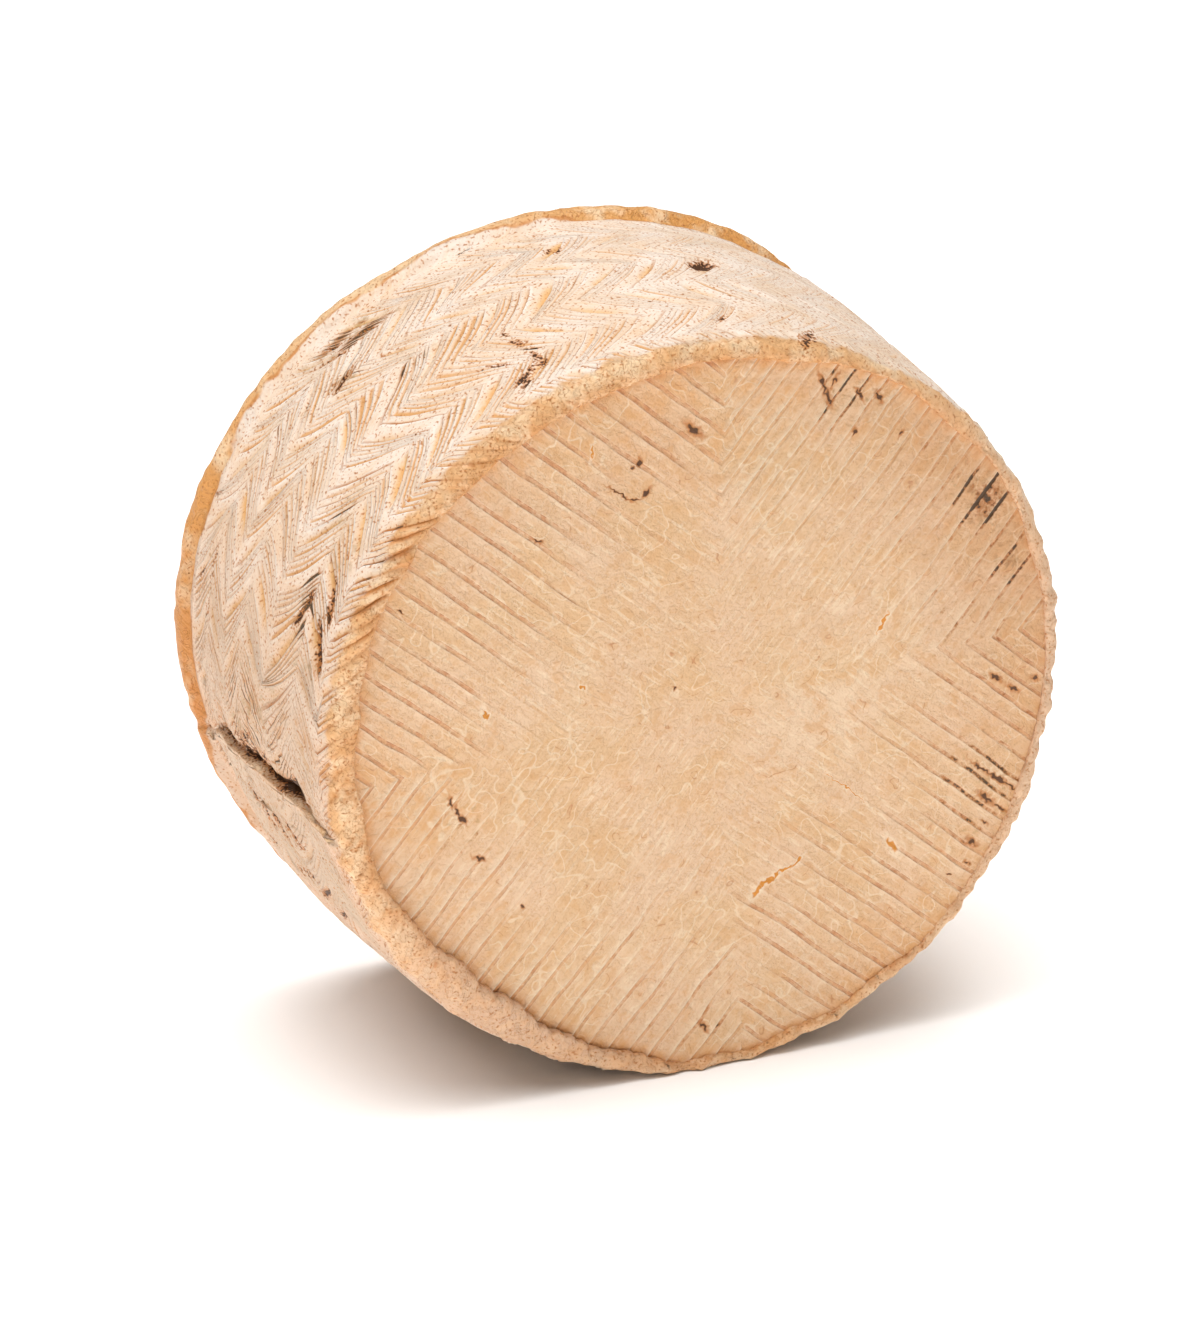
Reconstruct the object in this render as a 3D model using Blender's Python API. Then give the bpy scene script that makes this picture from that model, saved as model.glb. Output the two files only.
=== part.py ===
# An aged goat cheese: one whole wheel, lying on its curved side.
#
# The wheel is a slightly tapered drum with its front end towards -Y. The wall carries the print of a
# plaited belt, six columns of slanting strands that meet in zigzags, and a flap where the belt's ends
# lay over each other. Each end carries the print of a grooved board, four fields of ribs that meet as
# chevrons, inside a raised lip. The wheel rests on a narrow flat strip that its own weight pressed.
import math

import bmesh
import bpy
import numpy as np

MM = 0.001

# The drum, in millimetres, measured along and around its own axis
WIDTH = 97.0
FRONT_RADIUS = 94.9
BACK_RADIUS = 98.6
WALL_BULGE = 1.7
BACK_NECK = 2.4
FLAT_DEPTH = 0.8

# How far each end is out of round: waves in a turn, height in mm, angle of a crest in degrees
FRONT_WAVES = ((2, 1.15, -31.0), (3, 0.87, 40.0))
BACK_WAVES = ((2, 0.87, -24.0), (3, 0.5, 42.0), (4, 0.9, -21.0))

# The belt's print: the lines where its strands turn, in mm from the front, and the bundles round it
PLAIT_LINES = (7.2, 20.0, 35.5, 49.9, 60.4, 74.6, 87.0)
BUNDLES = 43
LINES_PER_BUNDLE = 3
BUNDLE_SHAPE = (-1.2, 0.6, 0.1)
PLAIT_LINE_DEPTH = 0.25
BUNDLE_UNEVENNESS = 0.35

# The flap that the belt's overlap left, straight across the wall
FLAP_ANGLE = 189.8
FLAP_HEIGHT = 1.4
FLAP_HOLLOW_ANGLE = 187.0
FLAP_HOLLOW_DEPTH = 2.4
FLAP_EDGE_REACH = 2.6
FLAP_STRAIGHT_REACH = 24.0
FLAP_HOLLOW_FROM = 15.0
FLAP_HOLLOW_TO = 74.0

# The board's print on each end
RIB_PITCH = 5.2
RIB_EDGE = 0.22
RIB_GROOVE = 0.45
RIB_RIDGE = 0.25
RIB_STEPS = (0.0, 0.42, 0.8, 1.0)
RIBS_FADE_FROM = 25.0
RIBS_FULL_AT = 75.0
RIB_FAINTEST = 0.2
AXIS_MARGIN = 2.5
MIDDLE_LEVEL = 1.4
FRONT_PRINT = {"centre": (3.6, 3.4), "turn": 5.0, "axes": (3.0, 88.5, 185.5, 274.5)}
BACK_PRINT = {"centre": (-3.0, 2.0), "turn": 14.0, "axes": (14.0, 104.0, 194.0, 284.0)}

# The lips, as width and height over the end's face, with (angle, reach, more) for each fuller stretch
FRONT_LIP = {
    "width": 4.2,
    "wider": ((135.0, 75.0, 3.2), (222.0, 45.0, 5.2), (180.0, 30.0, 2.0)),
    "height": 0.9,
    "higher": ((130.0, 80.0, 1.7), (225.0, 60.0, 2.2)),
}
BACK_LIP = {
    "width": 6.0,
    "wider": ((90.0, 80.0, 1.5), (250.0, 60.0, 2.0)),
    "height": 1.8,
    "higher": ((60.0, 70.0, 0.8),),
}

FINE = 1e-6


def bump(angle, centre, reach):
    """One at the centre angle, falling to nothing at reach degrees to either side."""
    away = np.abs((angle - centre + 180.0) % 360.0 - 180.0)
    return np.where(away < reach, 0.5 + 0.5 * np.cos(np.pi * away / reach), 0.0)


def ease(value, low, high):
    """Nothing below low, one above high, and a smooth rise between them."""
    part = np.clip((value - low) / (high - low), 0.0, 1.0)
    return part * part * (3.0 - 2.0 * part)


def with_stretches(angle, base, stretches):
    """A size round the rim: its base value and what each fuller stretch adds."""
    return base + sum(more * bump(angle, centre, reach) for centre, reach, more in stretches)


def waves(angle, rows):
    """How far the rim stands out of round at an angle."""
    return sum(high * np.cos(count * np.radians(angle - crest)) for count, high, crest in rows)


def rim_radius(angle, end):
    """The widest radius of the front or the back end."""
    if end == "front":
        return FRONT_RADIUS + waves(angle, FRONT_WAVES)
    return BACK_RADIUS + waves(angle, BACK_WAVES)


def lip_size(angle, end):
    """Width of a lip and its height over the face, at an angle."""
    lip = FRONT_LIP if end == "front" else BACK_LIP
    width = with_stretches(angle, lip["width"], lip["wider"])
    height = with_stretches(angle, lip["height"], lip["higher"])
    return width, height


def face_radius(angle, end):
    """Where the flat face ends and the lip begins."""
    return rim_radius(angle, end) - lip_size(angle, end)[0]


def wall_radius(angle, y):
    """The wall without its print: a taper, a slight belly, and a neck under the back lip."""
    part = y / WIDTH
    mean = (1.0 - part) * rim_radius(angle, "front") + part * rim_radius(angle, "back")
    belly = WALL_BULGE * (1.0 - (2.0 * part - 1.0) ** 2)
    return mean + belly - BACK_NECK * ease(part, 0.62, 0.9)


def bundle_relief(columns, plait_column, rng):
    """Height of the strands half-way across one column of the plait: a deep line between bundles."""
    shape = np.array(BUNDLE_SHAPE)[columns % LINES_PER_BUNDLE]
    uneven = rng.uniform(-BUNDLE_UNEVENNESS, BUNDLE_UNEVENNESS, BUNDLES)
    leaning = columns // LINES_PER_BUNDLE
    return shape * (1.0 + np.roll(uneven, plait_column)[leaning % BUNDLES])


def flap_relief(angle, y):
    """The raised edge of the flap and the hollow in front of it."""
    edge = FLAP_HEIGHT * bump(angle, FLAP_ANGLE, FLAP_EDGE_REACH)
    inside = (y > FLAP_HOLLOW_FROM) & (y < FLAP_HOLLOW_TO)
    hollow = FLAP_HOLLOW_DEPTH * bump(angle, FLAP_HOLLOW_ANGLE, FLAP_EDGE_REACH)
    return edge - np.where(inside, hollow, 0.0)


def ring(angle, y, radius):
    """Points of one ring round the drum's axis."""
    turn = np.radians(angle)
    level = np.broadcast_to(y, angle.shape)
    return np.column_stack((radius * np.cos(turn), level, radius * np.sin(turn)))


def lip_rings(angle, end):
    """The rings of one lip, from the edge of its face out to the wall."""
    width, height = lip_size(angle, end)
    rim = rim_radius(angle, end)
    inner = (rim - 0.85 * width, 0.45 * height)
    crest = (rim - 0.55 * width, 0.0 * height)
    shoulder = (rim - 0.2 * width, 0.9)
    widest = (rim, 4.5)
    if end == "front":
        rows = (inner, crest, shoulder, widest)
        return [ring(angle, depth, radius) for radius, depth in rows]
    flange_edge = (rim - 0.5, 7.0)
    rows = (flange_edge, (rim, 3.4), shoulder, crest, inner)
    return [ring(angle, WIDTH - depth, radius) for radius, depth in rows]


def wall_rings(angle):
    """The rings of the wall, at each line of the plait and half-way to the next, turned with its strands."""
    rng = np.random.default_rng(7)
    columns = np.arange(len(angle))
    straight = 1.0 - bump(angle, FLAP_ANGLE, FLAP_STRAIGHT_REACH)
    rings = []
    steps = np.arange(0.0, len(PLAIT_LINES) - 0.5, 0.5)
    halves = np.interp(steps, np.arange(len(PLAIT_LINES)), PLAIT_LINES)
    for half, y in enumerate(halves):
        swing = (0.0, 0.5, 1.0, 0.5)[half % 4]
        turned = angle - swing * straight * 360.0 / BUNDLES
        relief = -PLAIT_LINE_DEPTH
        if half % 2:
            relief = bundle_relief(columns, half // 2, rng) * straight
        radius = wall_radius(turned, y) + relief + flap_relief(angle, y)
        rings.append(ring(turned, y, radius))
    return rings


def face_level(x, z, end):
    """How far the plain face lies below the lip's crest."""
    angle = np.degrees(np.arctan2(z, x))
    from_axis = np.hypot(x, z)
    edge = lip_size(angle, end)[1]
    return MIDDLE_LEVEL + (edge - MIDDLE_LEVEL) * ease(from_axis, 45.0, 88.0)


def reach_to_rim(start, direction, end):
    """Distance from points on the face to its edge, along one direction, by halving."""
    near = np.zeros(len(start))
    far = np.full(len(start), 2.5 * BACK_RADIUS)
    for _ in range(40):
        middle = 0.5 * (near + far)
        x = start[:, 0] + middle * direction[0]
        z = start[:, 1] + middle * direction[1]
        inside = np.hypot(x, z) < face_radius(np.degrees(np.arctan2(z, x)), end)
        near = np.where(inside, middle, near)
        far = np.where(inside, far, middle)
    return near


class Shell:
    """The points and triangles of the wheel as they are made."""

    def __init__(self):
        self.points = []
        self.faces = []

    def add(self, points):
        """Add an array of points and return their numbers."""
        first = len(self.points)
        self.points.extend(points)
        return np.arange(first, first + len(points))

    def strip(self, low, high):
        """Join two closed rings of the same length."""
        count = len(low)
        for i in range(count):
            j = (i + 1) % count
            self.faces.append((low[i], low[j], high[j]))
            self.faces.append((low[i], high[j], high[i]))

    def stitch(self, inner, outer):
        """Join two closed rings of any length by the angles of their points."""
        a, b = self.unrolled(inner), self.unrolled(outer)
        i = j = 0
        while i < len(inner) or j < len(outer):
            take_inner = j == len(outer) or (i < len(inner) and a[i + 1] < b[j + 1])
            here, there = inner[i % len(inner)], outer[j % len(outer)]
            if take_inner:
                i += 1
                self.faces.append((here, inner[i % len(inner)], there))
            else:
                j += 1
                self.faces.append((here, outer[j % len(outer)], there))

    def unrolled(self, ids):
        """Angles of a ring's points, rising from the first, with the first one repeated at the end."""
        points = np.array([self.points[i] for i in ids])
        turn = np.unwrap(np.arctan2(points[:, 2], points[:, 0]))
        turn = turn - 2.0 * np.pi * np.round(turn[0] / (2.0 * np.pi))
        return np.append(turn, turn[0] + 2.0 * np.pi)


class BoardPrint:
    """The ribbed face of one end, as lines of points that follow the ribs."""

    def __init__(self, shell, end):
        self.shell = shell
        self.end = end
        layout = FRONT_PRINT if end == "front" else BACK_PRINT
        self.centre = np.array(layout["centre"])
        self.turn = layout["turn"]
        self.axis_angles = layout["axes"]
        steps = RIB_PITCH * np.arange(1, int(BACK_RADIUS / RIB_PITCH))
        self.offsets = np.sort(np.concatenate((steps, steps + RIB_EDGE * RIB_PITCH)))
        self.is_groove = np.isin(self.offsets, steps)

    def lift(self, points, height):
        """Place points of the face in space, raised by a rib's height where the ribs are strong."""
        x, z = points[:, 0], points[:, 1]
        strength = RIB_FAINTEST + (1.0 - RIB_FAINTEST) * ease(np.hypot(x, z), RIBS_FADE_FROM, RIBS_FULL_AT)
        depth = face_level(x, z, self.end) - height * strength
        y = depth if self.end == "front" else WIDTH - depth
        return self.shell.add(np.column_stack((x, y, z)))

    def direction(self, degrees):
        """A unit vector on the face."""
        turn = math.radians(degrees)
        return np.array((math.cos(turn), math.sin(turn)))

    def make_axes(self):
        """Points along the four axes where the fields meet, and where each axis meets the rim."""
        start = self.centre[None, :]
        self.middle = self.lift(start, 0.0)[0]
        self.axes = []
        for angle in self.axis_angles:
            along = self.direction(angle)
            length = reach_to_rim(start, along, self.end)[0]
            stations = math.sqrt(2.0) * self.offsets
            stations = stations[stations < length - AXIS_MARGIN]
            grooves = self.is_groove[: len(stations)]
            points = self.centre + stations[:, None] * along
            ids = self.lift(points, np.where(grooves, -RIB_GROOVE, RIB_RIDGE))
            corner = self.lift(start + length * along, 0.0)[0]
            self.axes.append({"points": points, "ids": ids, "corner": corner})

    def side_lines(self, axis, outward):
        """The rib lines that run from one axis to the rim, as rows of point numbers."""
        start = axis["points"]
        reach = reach_to_rim(start, outward, self.end)
        height = np.where(self.is_groove[: len(start)], -RIB_GROOVE, RIB_RIDGE)
        columns = [axis["ids"]]
        for step in RIB_STEPS[1:]:
            columns.append(self.lift(start + (step * reach)[:, None] * outward, height))
        return np.column_stack(columns)

    def middle_line(self, outward):
        """The rib line from the middle of the print to the rim."""
        start = self.centre[None, :]
        reach = reach_to_rim(start, outward, self.end)
        ids = [self.middle]
        for step in RIB_STEPS[1:]:
            ids.append(self.lift(start + (step * reach)[:, None] * outward, -RIB_GROOVE)[0])
        return np.array(ids)

    def make(self):
        """Build the face and return the numbers of the points round its edge."""
        self.make_axes()
        edge = []
        for quarter in range(4):
            right, left = self.axes[quarter], self.axes[(quarter + 1) % 4]
            outward = self.direction(self.turn + 90.0 * quarter + 45.0)
            right_lines = self.side_lines(right, outward)[::-1]
            left_lines = self.side_lines(left, outward)
            lines = np.vstack((right_lines, self.middle_line(outward), left_lines))
            self.fill_field(lines)
            self.fill_corner(right["corner"], lines[0])
            self.fill_corner(left["corner"], lines[-1])
            edge.append([right["corner"]])
            edge.append(lines[:, -1])
        return np.concatenate(edge)

    def fill_field(self, lines):
        """Triangles between neighbouring rib lines."""
        for low, high in zip(lines[:-1], lines[1:]):
            for k in range(len(low) - 1):
                self.shell.faces.append((low[k], low[k + 1], high[k + 1]))
                self.shell.faces.append((low[k], high[k + 1], high[k]))

    def fill_corner(self, corner, line):
        """Triangles between the last rib line and the point where its axis meets the rim."""
        for k in range(len(line) - 1):
            self.shell.faces.append((line[k], line[k + 1], corner))


def make_shell():
    """The whole surface round the drum's own axis, in millimetres."""
    shell = Shell()
    angle = np.arange(BUNDLES * LINES_PER_BUNDLE) * 360.0 / (BUNDLES * LINES_PER_BUNDLE)
    rows = lip_rings(angle, "front") + wall_rings(angle) + lip_rings(angle, "back")
    ids = [shell.add(points) for points in rows]
    for low, high in zip(ids[:-1], ids[1:]):
        shell.strip(low, high)
    shell.stitch(BoardPrint(shell, "front").make(), ids[0])
    shell.stitch(BoardPrint(shell, "back").make(), ids[-1])
    return np.array(shell.points), shell.faces


def lay_down(points):
    """Tilt the drum until both rims touch the floor, press the flat strip, and centre it over the origin."""
    down = 270.0
    rise = rim_radius(down, "back") - rim_radius(down, "front")
    tilt = math.atan2(rise, WIDTH - 8.0)
    x, y, z = points.T
    turned_y = y * math.cos(tilt) - z * math.sin(tilt)
    turned_z = y * math.sin(tilt) + z * math.cos(tilt)
    lying = np.column_stack((x, turned_y, turned_z))
    rim = lying[np.abs(points[:, 1] - 4.5) < FINE]
    floor = rim[:, 2].min() + FLAT_DEPTH
    lying[:, 2] = np.maximum(lying[:, 2], floor)
    low, high = lying.min(axis=0), lying.max(axis=0)
    middle = 0.5 * (low + high)
    return lying - np.array((middle[0], middle[1], low[2]))


def rind_material():
    """Pale, dry, slightly waxy rind."""
    material = bpy.data.materials.new("rind")
    material.use_nodes = True
    shader = material.node_tree.nodes["Principled BSDF"]
    shader.inputs["Base Color"].default_value = (0.78, 0.57, 0.36, 1.0)
    shader.inputs["Roughness"].default_value = 0.62
    shader.inputs["Metallic"].default_value = 0.0
    return material


def make_cheese():
    """One closed solid for the whole wheel."""
    points, faces = make_shell()
    points = lay_down(points) * MM
    mesh = bpy.data.meshes.new("cheese")
    mesh.from_pydata([tuple(p) for p in points], [], [tuple(int(i) for i in f) for f in faces])
    work = bmesh.new()
    work.from_mesh(mesh)
    bmesh.ops.recalc_face_normals(work, faces=work.faces)
    work.to_mesh(mesh)
    work.free()
    mesh.shade_smooth()
    mesh.set_sharp_from_angle(angle=math.radians(40.0))
    mesh.materials.append(rind_material())
    cheese = bpy.data.objects.new("cheese", mesh)
    bpy.context.collection.objects.link(cheese)


for old in list(bpy.data.objects):
    bpy.data.objects.remove(old, do_unlink=True)

make_cheese()
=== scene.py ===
# Looks of an aged goat cheese: one whole wheel lying on its curved side.
# Its wall keeps the print of a plaited belt, and each end the print of a ribbed board inside a waxy lip.
import math

import bpy
import numpy as np
from mathutils import Matrix, Vector


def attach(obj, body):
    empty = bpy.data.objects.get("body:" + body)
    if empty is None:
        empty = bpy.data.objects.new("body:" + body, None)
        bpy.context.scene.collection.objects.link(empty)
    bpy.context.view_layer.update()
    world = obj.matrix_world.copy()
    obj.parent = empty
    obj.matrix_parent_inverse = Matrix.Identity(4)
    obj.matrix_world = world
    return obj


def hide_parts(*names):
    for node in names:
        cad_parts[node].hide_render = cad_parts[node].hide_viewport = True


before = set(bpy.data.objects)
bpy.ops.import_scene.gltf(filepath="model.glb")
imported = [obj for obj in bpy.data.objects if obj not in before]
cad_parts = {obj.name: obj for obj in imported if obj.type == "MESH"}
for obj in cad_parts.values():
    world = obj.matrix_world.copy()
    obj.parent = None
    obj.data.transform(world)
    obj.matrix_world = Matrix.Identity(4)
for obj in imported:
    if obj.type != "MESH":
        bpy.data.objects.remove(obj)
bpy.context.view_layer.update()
print("frame loaded:", sorted(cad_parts))

mm = 0.001


# Small helpers for shapes

def ease(value, low, high):
    # nothing below low, one above high, a smooth cubic between them
    part = np.clip((value - low) / (high - low), 0, 1)
    return part * part * (3 - 2 * part)


def fade(value, low, high):
    # one below low, nothing above high
    return 1 - ease(value, low, high)


def away(angle, centre):
    # signed degrees from a centre angle, from -180 to 180
    return (angle - centre + 180) % 360 - 180


def hump(angle, centre, reach):
    # one at the centre angle, falling as a cosine to nothing at reach degrees to either side
    off = np.abs(away(angle, centre))
    return np.where(off < reach, 0.5 + 0.5 * np.cos(np.pi * off / reach), 0)


def stretched(angle, base, stretches):
    # a size round the rim: its base and what each (angle, reach, more) adds
    return base + sum(more * hump(angle, centre, reach) for centre, reach, more in stretches)


def lumps(points, cell, seed):
    # smooth noise from -1 to 1: random values on a cubic lattice of this cell in mm, blended by eased weights
    table = np.random.default_rng(seed).uniform(-1, 1, (32, 32, 32))
    scaled = points / cell
    corner = np.floor(scaled).astype(np.int64)
    part = scaled - corner
    part = part * part * (3 - 2 * part)
    total = np.zeros(points.shape[:-1])
    for ends in np.ndindex(2, 2, 2):
        near = np.abs(1 - np.array(ends) - part)
        ix, iy, iz = np.moveaxis((corner + ends) % 32, -1, 0)
        total += near[..., 0] * near[..., 1] * near[..., 2] * table[ix, iy, iz]
    return total


def ringNoise(angle, waves, seed):
    # smooth noise round the rim, from about -1 to 1: a sum of sines with random phases, up to this many waves
    rng = np.random.default_rng(seed)
    counts = np.arange(max(1, waves // 3), waves + 1)
    turns = rng.uniform(0, 2 * np.pi, len(counts))
    sizes = rng.uniform(0.5, 1, len(counts))
    total = sum(s * np.cos(n * np.radians(angle) + t) for n, t, s in zip(counts, turns, sizes))
    return total / np.sqrt(0.5 * np.sum(sizes ** 2)) / 1.8


def bell(value, centre, reach):
    # one at the centre, falling off as a bell curve over its reach
    return np.exp(-((value - centre) / reach) ** 2)


def between(value, start, full, end, gone):
    # nothing before start, one from full to end, nothing past gone
    return ease(value, start, full) * fade(value, end, gone)


def angleOf(x, z):
    return np.degrees(np.arctan2(z, x))


def onFace(x, z, y=0):
    # points in mm on the wheel's own axes, level with the front end unless y is given
    return np.stack((x, y + np.zeros_like(x), z), axis=-1)


def toSegments(a, b, marks):
    # how near each point is to marks (a0, b0, a1, b1, width): one on the segment, falling off over its width
    out = []
    for a0, b0, a1, b1, width in marks:
        da, db = a1 - a0, b1 - b0
        long = max(da * da + db * db, 1e-6)
        t = np.clip(((a - a0) * da + (b - b0) * db) / long, 0, 1)
        gap = np.hypot(a - a0 - t * da, b - b0 - t * db)
        out.append(bell(gap, 0, width))
    return out


# The wheel's plain form, in mm on its own axis: the front end at y = 0, angles from +X as seen from the front

wheel = {
    "width": 97,
    "frontRadius": 94.9,
    "backRadius": 98.6,
    "belly": 1.7,
    "neck": 2.4,
    "frontWaves": ((2, 1.15, -31), (3, 0.87, 40)),
    "backWaves": ((2, 0.87, -24), (3, 0.5, 42), (4, 0.9, -21)),
    "axisPlace": (0.21, -48.535, 94.105),
    "touching": 8,
    # cell and height in mm of the rind's lumps, from large to fine
    "uneven": ((26, 0.42), (9, 0.24), (2.9, 0.14)),
}


def outOfRound(angle, rows):
    return sum(high * np.cos(count * np.radians(angle - crest)) for count, high, crest in rows)


def rimRadius(angle, end):
    return wheel[end + "Radius"] + outOfRound(angle, wheel[end + "Waves"])


def wallRadius(angle, y):
    # the wall without its print: a taper, a slight belly, and a neck under the back lip
    part = y / wheel["width"]
    mean = (1 - part) * rimRadius(angle, "front") + part * rimRadius(angle, "back")
    return mean + wheel["belly"] * (1 - (2 * part - 1) ** 2) - wheel["neck"] * ease(part, 0.62, 0.9)


def roughness(points, strength=1):
    # the rind's own unevenness at three sizes
    big, middle, fine = (
        size * lumps(points, cell, seed) for seed, (cell, size) in enumerate(wheel["uneven"], 11))
    return big + middle + strength * fine


# The lips round the two ends

frontLip = {
    "width": (3.4, ((135, 75, 3.2), (226, 46, 6.2), (182, 34, 2.6), (80, 40, 1))),
    "height": (0.9, ((130, 80, 1.9), (225, 60, 2.2))),
    "lobes": (0.1, ((125, 62, 0.35), (165, 40, 0.6))),
    "serration": (0.2, ((232, 60, 0.85), (300, 60, 0.4))),
    "serrations": 128,
    "waver": (0.35, ((225, 50, 0.5), (280, 60, 0.6))),
    "ropes": (0.06, ((158, 52, 1.3), (205, 30, 0.5))),
    "ropeEdges": (0, 0.36, 0.616, 1),
    "ropeLumps": (4.6, 0.65),
    "scallops": (0.1, ((-10, 62, 0.62),)),
    "scallopCount": 104,
    # where the wax ends on the wall side, in mm from the front
    "waxEnd": (1.4, ((100, 40, 0.6), (225, 50, 2.4))),
    "printStart": (1.2, ((160, 40, -0.9), (225, 40, 3))),
    # how far in from the rim as a part of the width, mm more, depth as a part of the height, mm more, swing
    "stations": (
        (1, 0.25, 1, 0.35, 1), (1, 0.3, 0.62, 0, 0.98), (1, 0.12, 0.28, 0, 0.95),
        (0.95, 0, 0.08, 0, 0.9), (0.84, 0, 0, 0, 0.82), (0.68, 0, 0, 0, 0.72),
        (0.5, 0, 0, 0.12, 0.62), (0.33, 0, 0, 0.5, 0.52), (0.18, 0, 0, 1.15, 0.43),
        (0.07, 0, 0, 2.2, 0.34), (0, 0, 0, 3.6, 0.24), (0, 0, 0, 5.4, 0.12),
    ),
}

backLip = {
    "width": (6, ((90, 80, 1.5), (250, 60, 2))),
    "height": (1.8, ((60, 70, 0.8),)),
    # mm from the back end to where the wax starts
    "waxReach": (5.4, ((58, 48, 5.4), (172, 44, 3.6))),
    # mm in from the back end, mm in from the rim, swing
    "stations": (
        (8.6, None, 0.12), (7.3, None, 0.3), (6.5, 1.1, 0.4),
        (5.6, 0.25, 0.44), (4.2, 0, 0.5), (2.6, 0.15, 0.56), (1.3, 0.8, 0.62), (0.4, 1.9, 0.68),
        (0, 3.4, 0.75),
    ),
    # share of the way in to the foot, depth as a part of the height, swing
    "inner": ((0.82, 0.12, 0.85), (0.95, 0.5, 0.93), (1, 1.1, 1)),
}

lips = {"front": frontLip, "back": backLip}


def footRadius(angle, end):
    # where the flat face ends: the rim less the lip's width, with a lobe for each rope bundle at the front
    foot = rimRadius(angle, end) - stretched(angle, *lips[end]["width"])
    if end == "front":
        lobe = np.abs(np.sin(np.pi * (angle * plait["bundles"] / 360 + 1)))
        foot = foot - stretched(angle, *frontLip["lobes"]) * (lobe ** 0.8 - 0.6)
        turn = np.radians(0.5 * frontLip["serrations"] * angle) + 1.5 * ringNoise(angle, 12, 6)
        foot = foot - stretched(angle, *frontLip["serration"]) * (np.abs(np.sin(turn)) ** 0.5 - 0.6)
        foot = foot - ringNoise(angle, 30, 5) * stretched(angle, *frontLip["waver"])
    return foot + 0.4 * ringNoise(angle, 18, 7)


# The belt's print on the wall

plait = {
    "lines": (7.2, 20, 35.5, 49.9, 60.4, 74.6, 87),  # mm from the front where the strands turn
    "columns": 6,
    "columnLength": 13,       # what each column counts for along the strand map
    "bundles": 43,
    "hollowShare": 0.36,      # of each bundle, a wide smooth hollow
    "flutes": 5,              # narrower strands in the rest of it
    "hollowPlaces": (0, 0.09, 0.36, 0.64, 0.91),
    "flutePlaces": (0, 0.17, 0.83),
    "strandWander": 0.022,    # of a bundle, that the strands' edges wander
    "hollowDepth": 1.35,
    "fluteDepth": 0.6,
    "bundleTilt": 0.35,
    "creaseDepth": 0.2,
    "creaseWidth": 0.75,
    "columnSteps": 0.16,      # mm that one bundle stands above or below the next
    "lineWobble": 1,          # mm that the zigzag's turning lines wander
    "swingWobble": 0.16,      # of a bundle
    "bend": 0.12,             # of a bundle, that the strands bow between the lines of each column
    "rows": (0, 0.09, 0.24, 0.42, 0.6, 0.77, 0.91),
    "sharpness": (0.9, ((62, 46, -0.42), (150, 50, 0.25))),
}

flap = {
    "angle": 188.7,
    "bow": 3.3,               # degrees more at both ends of the edge
    # degrees from the edge: the mesh is straight up to the first, and zigzags in full from the second before
    # it and the third beyond it
    "straight": (3, 11, 20),
    # mm from the front: where the edge starts to stand, is full, starts to sink and has gone, then the same
    # of the crevice, which closes by this share
    "stands": (1, 7, 88, 94),
    "open": (11, 20, 62, 76),
    "closing": 0.75,
    # mm from the edge, sideways shift, height
    "profile": (
        (-7, 0, 0), (-3.8, 0, -0.4), (-2.4, 0.4, -1.8), (-1.1, 0.8, -3.2), (-0.2, -0.3, -1.2),
        (0.4, -1.1, 0.9), (1, -1.1, 1.3), (2, -0.6, 1), (4.5, 0, 0.6), (10, 0, 0),
    ),
}

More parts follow.
